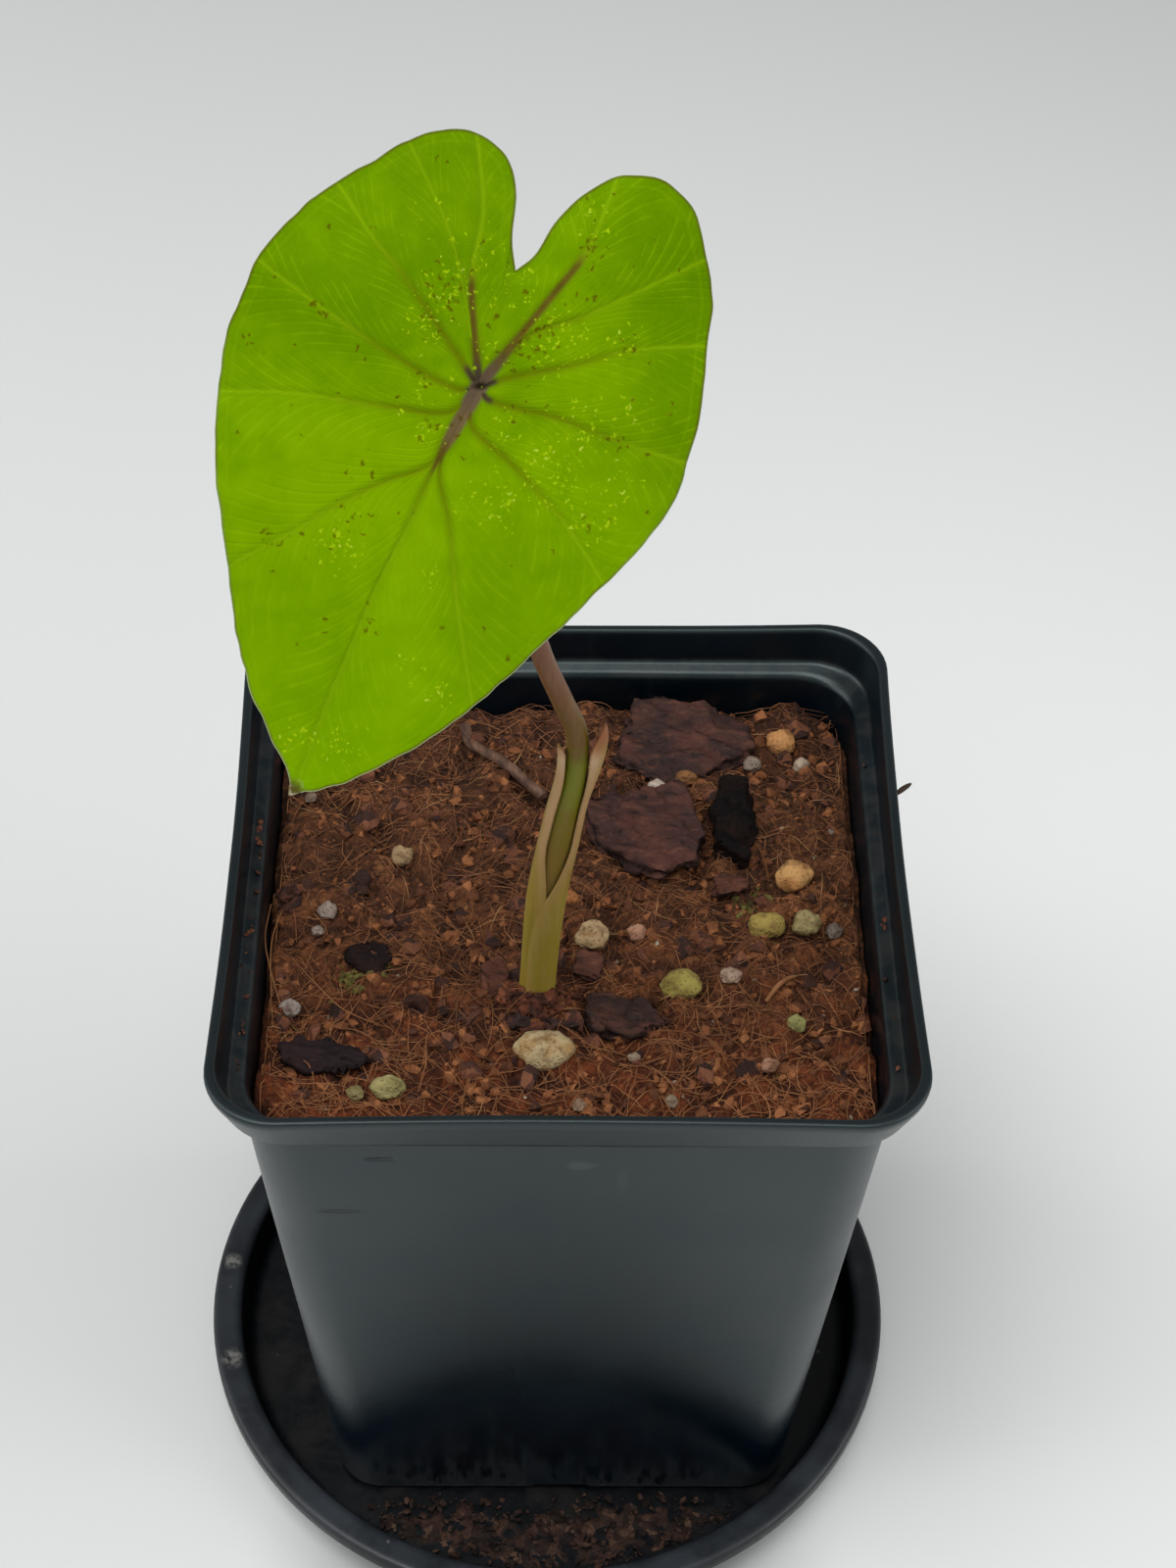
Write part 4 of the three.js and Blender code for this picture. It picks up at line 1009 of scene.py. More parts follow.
def blade_shape():
    """Top and underside of the leaf, its mesh lines running along the veins."""
    edge, run, veins, marks, places = blade_columns()
    rings = np.linspace(0, 1, BLADE_RINGS + 1)
    bends = [np.zeros((len(rings), 2))]
    for _, route in veins:
        share = along(route)
        share /= share[-1]
        curve = np.column_stack([np.interp(rings, share, route[:, k]) for k in (0, 1)])
        bends.append(curve - rings[:, None] * route[-1])
    bends = np.array(bends + [np.zeros((len(rings), 2))])

    bm = bmesh.new()
    bmesh.ops.create_grid(bm, x_segments=BLADE_COLUMNS, y_segments=BLADE_RINGS, size=1)
    grid = np.array([v.co for v in bm.verts])
    column = np.round((grid[:, 0] + 1) / 2 * BLADE_COLUMNS).astype(int)
    ring = np.round((grid[:, 1] + 1) / 2 * BLADE_RINGS).astype(int)
    share = places[column]
    sector = np.clip(np.searchsorted(marks, share, side="right") - 1, 0, len(marks) - 2)
    part = ((share - marks[sector]) / (marks[sector + 1] - marks[sector]))[:, None]
    reach = rings[ring]
    margin = np.column_stack([np.interp(share, run, edge[:, k]) for k in (0, 1)])
    bend = (1 - part) * bends[sector, ring] + part * bends[sector + 1, ring]
    a, b = (reach[:, None] * margin + bend).T
    fields = blade_fields(a, b, reach, share, edge, veins, marks)
    groove = np.exp(-((fields["vein_gap"] / (fields["vein_half"] + 0.15)) ** 2))
    quilt = np.sin(fields["fork"] * math.pi / 2) * ease_between(reach, 0.05, 0.4)
    dimple = np.exp(-((np.hypot(a + 0.2, b - 0.1) / 0.9) ** 2))
    top = blade_rise(a, b, reach) - 0.16 * groove + 0.10 * quilt - 0.38 * dimple
    ribs = rib_depth(a, b) + 0.16 * np.exp(-((fields["vein_gap"] / 0.4) ** 2)) * (1 - reach)
    boss = 1.3 * np.exp(-((np.hypot(a, b) / 1.7) ** 2))
    low = blade_rise(a, b, reach) - BLADE_THICKNESS * (1 - 0.4 * reach ** 3) - np.maximum(ribs, boss)

    layers = {name: bm.verts.layers.float.new(name) for name in [*fields, "underside"]}
    columns_of = {name: values.tolist() for name, values in fields.items()}
    verts = bm.verts[:]
    for k, v in enumerate(verts):
        for name, values in columns_of.items():
            v[layers[name]] = values[k]
    copy = bmesh.ops.duplicate(bm, geom=bm.verts[:] + bm.edges[:] + bm.faces[:])
    twins = copy["vert_map"]
    for k, v in enumerate(verts):
        spread = HUB + BLADE_TIP * a[k] + BLADE_RIGHT * b[k]
        twin = twins[v]
        v.co = spread + BLADE_FACING * top[k]
        twin.co = spread + BLADE_FACING * low[k]
        twin[layers["underside"]] = 1.0
    bmesh.ops.remove_doubles(bm, verts=bm.verts, dist=1e-3)
    bmesh.ops.bridge_loops(bm, edges=[e for e in bm.edges if e.is_boundary])
    bmesh.ops.recalc_face_normals(bm, faces=bm.faces)
    return bm


# Finishes. Each shader starts from the real material's typical roughness and IOR.
def leaf_finish():
    """Living leaf with a waxy skin: satin lime green, thin, lit a little from within."""
    finish, tree, shader, place = new_finish("leaf_waxed_cuticle", {
        "Subsurface Weight": 0.1, "Subsurface Radius": (0.0006, 0.001, 0.0001), "Subsurface Scale": 1.0,
        "IOR": 1.42, "Specular IOR Level": 0.12, "Specular Tint": "b4e600",
    })
    parts = add(tree, "SeparateXYZ", {"Vector": place})
    gap, half, dark, olive, margin, pinnate, fork, below, hub_gap, tip_gap, fleck_share, speck_share = (
        add(tree, "Attribute", attribute_name=name).outputs["Fac"] for name in (
            "vein_gap", "vein_half", "dark", "olive", "margin_gap", "pinnate", "fork", "underside",
            "hub_gap", "tip_gap", "fleck", "speck",
        )
    )
    upper = add(tree, "Math", (1.0, below), operation="SUBTRACT")

    # Greens drift over centimetres, with a fine cell mottle
    drift = add(tree, "TexNoise", {"Vector": place, "Scale": per_mm(20), "Detail": 3.0})
    mottle = add(tree, "TexNoise", {"Vector": place, "Scale": per_mm(2.6), "Detail": 5.0})
    blotch = add(tree, "Math", (mottle, 0.3, drift), operation="MULTIPLY_ADD")
    green = add(tree, "ValToRGB", {"Fac": blotch}, stops=[
        (0.38, "517800"), (0.6, "5e8400"), (0.84, "739800"),
    ])

    # Painted light: lighter and yellower towards the tip, 168 mm up; painted shade: deeper green on the
    # right
    low = add(tree, "MapRange", (parts.outputs["Z"], 0.168, 0.205, 0.4, 0.0))
    green = add(tree, "Mix", (low, green, "739d00"))
    right = add(tree, "MapRange", (parts.outputs["X"], 0.0, 0.018, 0.0, 0.35))
    green = add(tree, "Mix", (right, green, "446a00"))

    # Net of the smallest veins, hardly paler than the cells
    net = add(tree, "TexVoronoi", {"Vector": place, "Scale": per_mm(1.2)}, feature="DISTANCE_TO_EDGE")
    net_line = add(tree, "MapRange", (net, 0.0, 0.1, 0.07, 0.0))
    colour = add(tree, "Mix", (net_line, green, "7f9d04"))

    # Side veins 2.3 mm apart, bent a little, from each main vein to the middle between two
    wander = add(tree, "TexNoise", {"Vector": place, "Scale": per_mm(6.0), "Detail": 2.0})
    bent = add(tree, "Math", (
        add(tree, "Math", (pinnate, 2.3), operation="DIVIDE"),
        add(tree, "Math", (wander, 0.8), operation="MULTIPLY"),
    ), operation="ADD")
    saw = add(tree, "Math", (bent, 0.5), operation="PINGPONG")
    side_line = add(tree, "Math", (
        add(tree, "MapRange", (saw, 0.0, 0.22, 1.0, 0.0)),
        add(tree, "MapRange", (fork, 0.7, 0.97, 1.0, 0.0)),
    ), operation="MULTIPLY")
    weaker = add(tree, "Math", (
        add(tree, "MapRange", (gap, 0.3, 9.0, 0.42, 0.32)),
        add(tree, "MapRange", (mottle, 0.4, 0.62, 0.1, 1.0)),
    ), operation="MULTIPLY")
    colour = add(tree, "Mix", (
        add(tree, "Math", (side_line, weaker), operation="MULTIPLY"), colour, "7c9f08",
    ))
    middle_line = add(tree, "MapRange", (fork, 0.93, 0.99, 0.0, 0.12))
    colour = add(tree, "Mix", (middle_line, colour, "749504"))
    hem = add(tree, "Math", (
        add(tree, "Math", (margin, 1.15), operation="SUBTRACT"),
    ), operation="ABSOLUTE")
    colour = add(tree, "Mix", (add(tree, "MapRange", (hem, 0.04, 0.25, 0.18, 0.0)), colour, "7b9a0c"))

    # Main veins: purple brown at the hub, then olive, then pale yellow green
    over = add(tree, "Math", (gap, half), operation="SUBTRACT")
    halo = add(tree, "MapRange", (over, 0.0, 0.8, 0.4, 0.0))
    colour = add(tree, "Mix", (halo, colour, add(tree, "Mix", (olive, "658604", "546904"))))
    shade = add(tree, "TexNoise", {"Vector": place, "Scale": per_mm(1.3), "Detail": 3.0})
    pale = add(tree, "Mix", (olive, "84a60a", "5f6206"))
    away = add(tree, "MapRange", (hub_gap, 1.0, 6.0))
    brown = add(tree, "Mix", (
        away, add(tree, "Mix", (shade, "2c1c1e", "453230")), add(tree, "Mix", (shade, "4a3a0c", "65521e")),
    ))
    brown = add(tree, "Mix", (add(tree, "MapRange", (half, 0.4, 0.75, 0.0, 0.55)), brown, "70584c"))
    vein = add(tree, "Mix", (dark, pale, brown))
    vein_line = add(tree, "Math", (
        add(tree, "MapRange", (over, -0.28, 0.24, 0.95, 0.0)),
        add(tree, "MapRange", (dark, 0.0, 1.0, 0.6, 1.0)),
    ), operation="MULTIPLY")
    colour = add(tree, "Mix", (vein_line, colour, vein))
    # Painted shade in the pit at the hub, near black over the hub's dark purple
    hub = add(tree, "MapRange", (hub_gap, 0.1, 1.0, 0.95, 0.0))
    colour = add(tree, "Mix", (add(tree, "Math", (hub, upper), operation="MULTIPLY"), colour, "120a0c"))

    # Pale feeding marks and brown specks, in patches
    twist = add(tree, "TexNoise", {"Vector": place, "Scale": per_mm(0.8), "Detail": 2.0})
    off = add(tree, "VectorMath", (twist.outputs["Color"], (0.0014, 0.0014, 0.0014)), operation="MULTIPLY")
    moved = add(tree, "VectorMath", (place, off), operation="ADD")
    fleck = add(tree, "TexVoronoi", {"Vector": moved, "Scale": per_mm(0.5)}, feature="F1")
    lot = add(tree, "SeparateColor", {"Color": fleck.outputs["Color"]})
    chosen = add(tree, "Math", (
        lot.outputs["Red"], add(tree, "MapRange", (fleck_share, 0.1, 1.0, 0.0, 0.88)),
    ), operation="LESS_THAN")
    size = add(tree, "MapRange", (lot.outputs["Green"], 0.0, 1.0, 0.18, 0.44))
    spot = add(tree, "MapRange", (
        add(tree, "Math", (fleck.outputs["Distance"], size), operation="SUBTRACT"), -0.2, 0.1, 0.9, 0.0,
    ))
    spot = add(tree, "Math", (
        add(tree, "Math", (spot, chosen), operation="MULTIPLY"), upper,
    ), operation="MULTIPLY")
    fleck_colour = add(tree, "Mix", (
        add(tree, "MapRange", (lot.outputs["Blue"], 0.8, 1.0)), "93b010", "a9bd3a",
    ))
    colour = add(tree, "Mix", (spot, colour, fleck_colour))
    grit = add(tree, "TexVoronoi", {"Vector": moved, "Scale": per_mm(0.72)}, feature="F1")
    lot2 = add(tree, "SeparateColor", {"Color": grit.outputs["Color"]})
    chosen2 = add(tree, "Math", (
        lot2.outputs["Green"], add(tree, "Math", (speck_share, 0.85), operation="MULTIPLY"),
    ), operation="LESS_THAN")
    speck = add(tree, "MapRange", (grit.outputs["Distance"], 0.12, 0.5, 0.8, 0.0))
    speck = add(tree, "Math", (
        add(tree, "Math", (speck, chosen2), operation="MULTIPLY"), upper,
    ), operation="MULTIPLY")
    colour = add(tree, "Mix", (speck, colour, "4f3d06"))

    # Thin browned edge with a painted highlight as a white line along the margin, then the paler underside
    rim = add(tree, "MapRange", (margin, 0.1, 0.42, 0.75, 0.0))
    rim_colour = add(tree, "Mix", (add(tree, "MapRange", (drift, 0.45, 0.6)), "4e4c10", "66782a"))
    colour = add(tree, "Mix", (rim, colour, rim_colour))
    # Painted highlight along the margin, stronger low down on the blade
    dry = add(tree, "MapRange", (parts.outputs["Z"], 0.175, 0.205, 0.85, 0.25))
    edge_highlight_line = add(tree, "Math", (add(tree, "MapRange", (margin, 0.0, 0.16)), -1.0), operation="MULTIPLY")
    colour = add(tree, "Mix", (
        add(tree, "Math", (add(tree, "Math", (edge_highlight_line, 1.0), operation="ADD"), dry), operation="MULTIPLY"),
        colour, "9aa07c",
    ))
    tip = add(tree, "MapRange", (tip_gap, 0.4, 1.7, 0.9, 0.0))
    colour = add(tree, "Mix", (
        tip, colour, add(tree, "Mix", (add(tree, "MapRange", (shade, 0.45, 0.6)), "4a3a20", "a89c84")),
    ))
    colour = add(tree, "Mix", (add(tree, "Math", (below, 0.5), operation="MULTIPLY"), colour, "84a04a"))

    height = add(tree, "Math", (side_line, -0.5), operation="MULTIPLY")
    height = add(tree, "Math", (
        height, add(tree, "Math", (net_line, -1.5), operation="MULTIPLY"),
    ), operation="ADD")
    height = add(tree, "Math", (
        height, add(tree, "Math", (mottle, 0.25), operation="MULTIPLY"),
    ), operation="ADD")
    bump = add(tree, "Bump", {"Height": height, "Strength": 0.5, "Distance": 0.12 * MM})
    rough = add(tree, "MapRange", (mottle, 0.3, 0.7, 0.44, 0.56))
    dress(tree, shader, colour, rough, bump)
    return finish


def stalk_finish():
    """Smooth living stem: green where the sheath hides it, pinkish brown higher up."""
    finish, tree, shader, place = new_finish("stem_living_skin", {
        "Subsurface Weight": 0.08, "Subsurface Radius": (0.001, 0.0006, 0.0003), "Subsurface Scale": 1.0,
        "IOR": 1.42,
    })
    height = add(tree, "SeparateXYZ", {"Vector": place}).outputs["Z"]
    streak_place = add(tree, "Mapping", {"Vector": place, "Scale": (1.0, 1.0, 0.06)})
    streak = add(tree, "TexNoise", {"Vector": streak_place, "Scale": per_mm(0.35), "Detail": 3.0})
    blotch = add(tree, "TexNoise", {"Vector": place, "Scale": per_mm(5.0), "Detail": 3.0})
    # From 104 mm up, inside the sheath, to 200 mm, just under the blade
    share = add(tree, "MapRange", (height, 0.104, 0.2), interpolation_type="LINEAR")
    share = add(tree, "Math", (
        share,
        add(tree, "Math", (
            add(tree, "Math", (blotch, 0.5), operation="SUBTRACT"), 0.16,
        ), operation="MULTIPLY"),
    ), operation="ADD")
    colour = add(tree, "ValToRGB", {"Fac": share}, stops=[
        (0.0, "8a742c"), (0.1, "836c2a"), (0.2, "786126"), (0.27, "6f6212"), (0.32, "6e740c"),
        (0.38, "6c700a"), (0.44, "62480f"), (0.52, "6a4422"), (0.62, "70422b"), (0.8, "683a2e"),
        (1.0, "54302a"),
    ])
    lines = add(tree, "MapRange", (streak, 0.45, 0.65, 0.0, 0.2))
    colour = add(tree, "Mix", (lines, colour, "8e6248"))
    bump = add(tree, "Bump", {"Height": streak, "Strength": 0.3, "Distance": 0.08 * MM})
    rough = add(tree, "MapRange", (blotch, 0.3, 0.7, 0.38, 0.5))
    dress(tree, shader, colour, rough, bump)
    return finish


def sheath_finish():
    """Leaf sheath: thin green skin that dries to pinkish tan paper at its edges."""
    finish, tree, shader, place = new_finish("sheath_drying_skin", {
        "Subsurface Weight": 0.1, "Subsurface Radius": (0.001, 0.0007, 0.0003), "Subsurface Scale": 1.0,
    })
    height = add(tree, "SeparateXYZ", {"Vector": place}).outputs["Z"]
    edge = add(tree, "Attribute", attribute_name="edge_gap").outputs["Fac"]
    streak_place = add(tree, "Mapping", {"Vector": place, "Scale": (1.0, 1.0, 0.05)})
    streak = add(tree, "TexNoise", {"Vector": streak_place, "Scale": per_mm(0.45), "Detail": 3.0})
    blotch = add(tree, "TexNoise", {"Vector": place, "Scale": per_mm(4.0), "Detail": 3.0})
    # The sheath leaves the mix at 95 mm, its wings part at about 130 mm and end at 147 mm
    body = add(tree, "ValToRGB", {"Fac": add(tree, "MapRange", (height, 0.095, 0.144))}, stops=[
        (0.0, "9b882a"), (0.25, "978430"), (0.6, "8d7430"), (1.0, "94763c"),
    ])
    body = add(tree, "Mix", (add(tree, "MapRange", (streak, 0.45, 0.68, 0.0, 0.45)), body, "a28b4c"))
    paper = add(tree, "ValToRGB", {"Fac": add(tree, "MapRange", (height, 0.136, 0.146))}, stops=[
        (0.0, "ad8860"), (0.45, "c0a080"), (0.75, "b07c54"), (1.0, "98582e"),
    ])
    reach = add(tree, "Math", (
        edge,
        add(tree, "Math", (
            add(tree, "Math", (blotch, 0.5), operation="SUBTRACT"), 1.6,
        ), operation="MULTIPLY"),
    ), operation="ADD")
    dry = add(tree, "Math", (
        add(tree, "MapRange", (reach, 0.3, 1.8, 0.85, 0.0)),
        add(tree, "MapRange", (height, 0.114, 0.132, 0.3, 1.0)),
    ), operation="MULTIPLY")
    colour = add(tree, "Mix", (dry, body, paper))
    tips = add(tree, "MapRange", (
        add(tree, "Math", (
            height, add(tree, "Math", (blotch, 0.004), operation="MULTIPLY"),
        ), operation="ADD"),
        0.143, 0.148, 0.0, 0.85,
    ))
    colour = add(tree, "Mix", (tips, colour, "8a4c28"))
    soiled = add(tree, "MapRange", (height, 0.0955, 0.099, 0.6, 0.0))
    colour = add(tree, "Mix", (soiled, colour, "4a3420"))
    bump = add(tree, "Bump", {"Height": streak, "Strength": 0.45, "Distance": 0.12 * MM})
    rough = add(tree, "MapRange", (blotch, 0.3, 0.7, 0.42, 0.6))
    dress(tree, shader, colour, rough, bump)
    return finish


def mix_finish():
    """Coir fines: red brown crumbs, with painted light making them paler and more orange near the front,
    painted shade towards the back and painted shade in the hollows.
    """
    finish, tree, shader, place = new_finish("coir_fines_damp", {"Specular IOR Level": 0.25})
    parts = add(tree, "SeparateXYZ", {"Vector": place})
    fines = add(tree, "TexNoise", {"Vector": place, "Scale": per_mm(0.9), "Detail": 6.0, "Roughness": 0.7})
    clods = add(tree, "TexNoise", {"Vector": place, "Scale": per_mm(5.0), "Detail": 4.0})
    crumbs = add(tree, "TexVoronoi", {"Vector": place, "Scale": per_mm(0.8)}, feature="F1")
    tone = add(tree, "ValToRGB", {"Fac": fines}, stops=[
        (0.3, "2c180e"), (0.45, "603a23"), (0.6, "835230"), (0.78, "a87246"),
    ])
    grainy = add(tree, "Mix", (
        0.35, tone,
        add(tree, "ValToRGB", {
            "Fac": add(tree, "SeparateColor", {"Color": crumbs.outputs["Color"]}).outputs["Red"],
        }, stops=[(0.0, "311c11"), (0.6, "6c432a"), (0.95, "97643d"), (1.0, "bf8f5e")]),
    ))
    # Painted light: paler and more orange towards the front
    front = add(tree, "MapRange", (
        add(tree, "Math", (
            parts.outputs["Y"], add(tree, "Math", (clods, 0.02), operation="MULTIPLY"),
        ), operation="ADD"),
        -0.024, 0.024, 0.8, 0.0,
    ))
    colour = add(tree, "Mix", (front, grainy, "a4744c"), blend_type="OVERLAY")
    # Painted shade towards the back of the pot
    back = add(tree, "MapRange", (parts.outputs["Y"], 0.0, 0.036, 0.0, 0.55))
    colour = add(tree, "Mix", (back, colour, "3a2018"))
    # Painted shade in the hollows of the relief
    deep = add(tree, "MapRange", (
        add(tree, "Attribute", attribute_name="relief_for_painted_shade").outputs["Fac"], -1.2, 0.0, 0.7, 0.0,
    ))
    colour = add(tree, "Mix", (deep, colour, "1d100b"))
    height = add(tree, "Math", (
        fines, add(tree, "Math", (crumbs.outputs["Distance"], -0.6), operation="MULTIPLY"),
    ), operation="ADD")
    bump = add(tree, "Bump", {"Height": height, "Strength": 0.9, "Distance": 0.5 * MM})
    dress(tree, shader, colour, add(tree, "MapRange", (fines, 0.3, 0.7, 0.95, 0.8)), bump)
    return finish


def painted_light_in_front(tree, place, colour):
    """Painted light: the fibres on the mix are paler and more orange towards the pot's front."""
    parts = add(tree, "SeparateXYZ", {"Vector": place})
    front = add(tree, "Math", (
        add(tree, "MapRange", (parts.outputs["Y"], -0.038, 0.004, 0.5, 0.0)),
        add(tree, "MapRange", (parts.outputs["Z"], 0.05, 0.08)),
    ), operation="MULTIPLY")
    return add(tree, "Mix", (front, colour, "a87046"))


def fibre_finish(name, dark, light):
    """Coir fibre, stripped and dried: matte, its colour changing along each strand."""
    finish, tree, shader, place = new_finish(name, {"Specular IOR Level": 0.3})
    drift = add(tree, "TexNoise", {"Vector": place, "Scale": per_mm(3.5), "Detail": 3.0})
    colour = add(tree, "Mix", (add(tree, "MapRange", (drift, 0.35, 0.65)), dark, light))
    colour = painted_light_in_front(tree, place, colour)
    grain = add(tree, "TexNoise", {"Vector": place, "Scale": per_mm(0.3), "Detail": 2.0})
    bump = add(tree, "Bump", {"Height": grain, "Strength": 0.4, "Distance": 0.05 * MM})
    dress(tree, shader, colour, add(tree, "MapRange", (drift, 0.3, 0.7, 0.7, 0.85)), bump)
    return finish


def crumb_finish(name, codes):
    """Broken peat and coir crumbs, each of its own brown."""
    finish, tree, shader, place = new_finish(name, {"Specular IOR Level": 0.25})
    cells = add(tree, "TexVoronoi", {"Vector": place, "Scale": per_mm(1.6)}, feature="F1")
    lot = add(tree, "SeparateColor", {"Color": cells.outputs["Color"]})
    fines = add(tree, "TexNoise", {"Vector": place, "Scale": per_mm(0.4), "Detail": 4.0})
    share = add(tree, "Math", (
        add(tree, "Math", (lot.outputs["Red"], 0.7), operation="MULTIPLY"),
        add(tree, "Math", (fines, 0.4), operation="MULTIPLY"),
    ), operation="ADD")
    colour = add(tree, "ValToRGB", {"Fac": share}, stops=codes)
    bump = add(tree, "Bump", {"Height": fines, "Strength": 0.7, "Distance": 0.15 * MM})
    dress(tree, shader, colour, add(tree, "MapRange", (fines, 0.3, 0.7, 0.9, 0.75)), bump)
    return finish


def pumice_finish(node, code, stain):
    """Crushed volcanic stone or expanded perlite: chalky, full of pores, stained by the mix."""
    finish, tree, shader, place = new_finish("crushed_" + node, {"Specular IOR Level": 0.3})
    pores = add(tree, "TexVoronoi", {"Vector": place, "Scale": per_mm(0.55)}, feature="F1")
    clouds = add(tree, "TexNoise", {"Vector": place, "Scale": per_mm(2.4), "Detail": 5.0})
    fines = add(tree, "TexNoise", {"Vector": place, "Scale": per_mm(0.35), "Detail": 4.0})
    colour = add(tree, "Mix", (add(tree, "MapRange", (clouds, 0.42, 0.66, 0.0, 0.75)), code, stain))
    colour = add(tree, "Mix", (
        add(tree, "MapRange", (pores.outputs["Distance"], 0.12, 0.3, 0.6, 0.0)), colour, stain,
    ))
    colour = add(tree, "Mix", (add(tree, "MapRange", (fines, 0.6, 0.78, 0.0, 0.25)), colour, "e2d6ba"))
    coat = add(tree, "TexNoise", {
        "Vector": place, "Scale": per_mm(1.7), "Detail": 4.0, "W": 2.0,
    }, noise_dimensions="4D")
    colour = add(tree, "Mix", (add(tree, "MapRange", (coat, 0.46, 0.7, 0.1, 0.7)), colour, "5c4028"))
    height = add(tree, "Math", (
        add(tree, "MapRange", (pores.outputs["Distance"], 0.1, 0.4)),
        add(tree, "Math", (fines, 0.6), operation="MULTIPLY"),
    ), operation="ADD")
    bump = add(tree, "Bump", {"Height": height, "Strength": 0.7, "Distance": 0.25 * MM})
    dress(tree, shader, colour, add(tree, "MapRange", (fines, 0.3, 0.7, 0.92, 0.75)), bump)
    return finish


def bark_finish(node, code):
    """Conifer bark, split in flakes: dull dark plates with lighter grain lines on their edges, and painted
    shade on their steep sides.
    """
    finish, tree, shader, place = new_finish("split_" + node, {
        "Specular IOR Level": 0.1 if node in CHARRED else 0.3,
    })
    grain_place = add(tree, "Mapping", {
        "Vector": place, "Rotation": (0.0, 0.0, -BARK_TURN), "Scale": (0.28, 1.0, 1.3),
    })
    grain = add(tree, "TexNoise", {
        "Vector": grain_place, "Scale": per_mm(1.1), "Detail": 5.0, "Roughness": 0.65,
    })
    fines = add(tree, "TexNoise", {"Vector": place, "Scale": per_mm(0.45), "Detail": 4.0})
    patch = add(tree, "TexNoise", {"Vector": place, "Scale": per_mm(6.0), "Detail": 2.0})
    warmth = 0.06 if node in CHARRED else 0.42
    plate = add(tree, "Mix", (
        add(tree, "MapRange", (patch, 0.42, 0.6, 0.0, 0.7)), code,
        add(tree, "Mix", (warmth, code, "6b3b2c")),
    ))
    colour = add(tree, "Mix", (
        add(tree, "MapRange", (grain, 0.5, 0.72, 0.0, 0.6)), plate,
        add(tree, "Mix", (warmth, code, "9a5f44")),
    ))
    colour = add(tree, "Mix", (add(tree, "MapRange", (grain, 0.3, 0.48, 0.85, 0.0)), colour, "120a08"))
    dust = add(tree, "MapRange", (fines, 0.6, 0.78, 0.0, 0.6 * warmth))
    colour = add(tree, "Mix", (dust, colour, "6d4835"))
    # Painted shade: darker where the surface faces sideways or down, away from the light above
    level = add(tree, "SeparateXYZ", {"Vector": add(tree, "TexCoord").outputs["Normal"]})
    colour = add(tree, "Mix", (
        add(tree, "MapRange", (level.outputs["Z"], 0.15, 0.75, 0.75, 0.0)), colour, "170d0a",
    ))
    height = add(tree, "Math", (
        grain, add(tree, "Math", (fines, 0.3), operation="MULTIPLY"),
    ), operation="ADD")
    bump = add(tree, "Bump", {"Height": height, "Strength": 0.8, "Distance": 0.5 * MM})
    dress(tree, shader, colour, add(tree, "MapRange", (fines, 0.3, 0.7, 0.85, 0.65)), bump)
    return finish


def twig_finish():
    """Weathered wood without its bark: grey brown with long fibres."""
    finish, tree, shader, place = new_finish("twig_weathered")
    grain_place = add(tree, "Mapping", {
        "Vector": place, "Rotation": (0.0, 0.0, 0.75), "Scale": (1.0, 0.3, 1.0),
    })
    grain = add(tree, "TexNoise", {"Vector": grain_place, "Scale": per_mm(0.9), "Detail": 4.0})
    colour = add(tree, "ValToRGB", {"Fac": grain}, stops=[
        (0.3, "39261c"), (0.5, "573c2d"), (0.7, "745541"),
    ])
    bump = add(tree, "Bump", {"Height": grain, "Strength": 0.6, "Distance": 0.2 * MM})
    dress(tree, shader, colour, add(tree, "MapRange", (grain, 0.3, 0.7, 0.9, 0.75)), bump)
    return finish


def corm_finish():
    """Dry papery skin of the rootstock: brown, ringed by old leaf scars."""
    finish, tree, shader, place = new_finish("corm_papery_skin")
    ring_place = add(tree, "Mapping", {"Vector": place, "Scale": (0.3, 0.3, 1.0)})
    rings = add(tree, "TexNoise", {"Vector": ring_place, "Scale": per_mm(1.6), "Detail": 4.0})
    flakes = add(tree, "TexNoise", {"Vector": place, "Scale": per_mm(0.8), "Detail": 4.0})
    colour = add(tree, "ValToRGB", {"Fac": rings}, stops=[
        (0.3, "3e281b"), (0.5, "6b4a33"), (0.7, "9a7654"),
    ])
    bump = add(tree, "Bump", {"Height": flakes, "Strength": 0.7, "Distance": 0.3 * MM})
    dress(tree, shader, colour, add(tree, "MapRange", (flakes, 0.3, 0.7, 0.9, 0.7)), bump)
    return finish


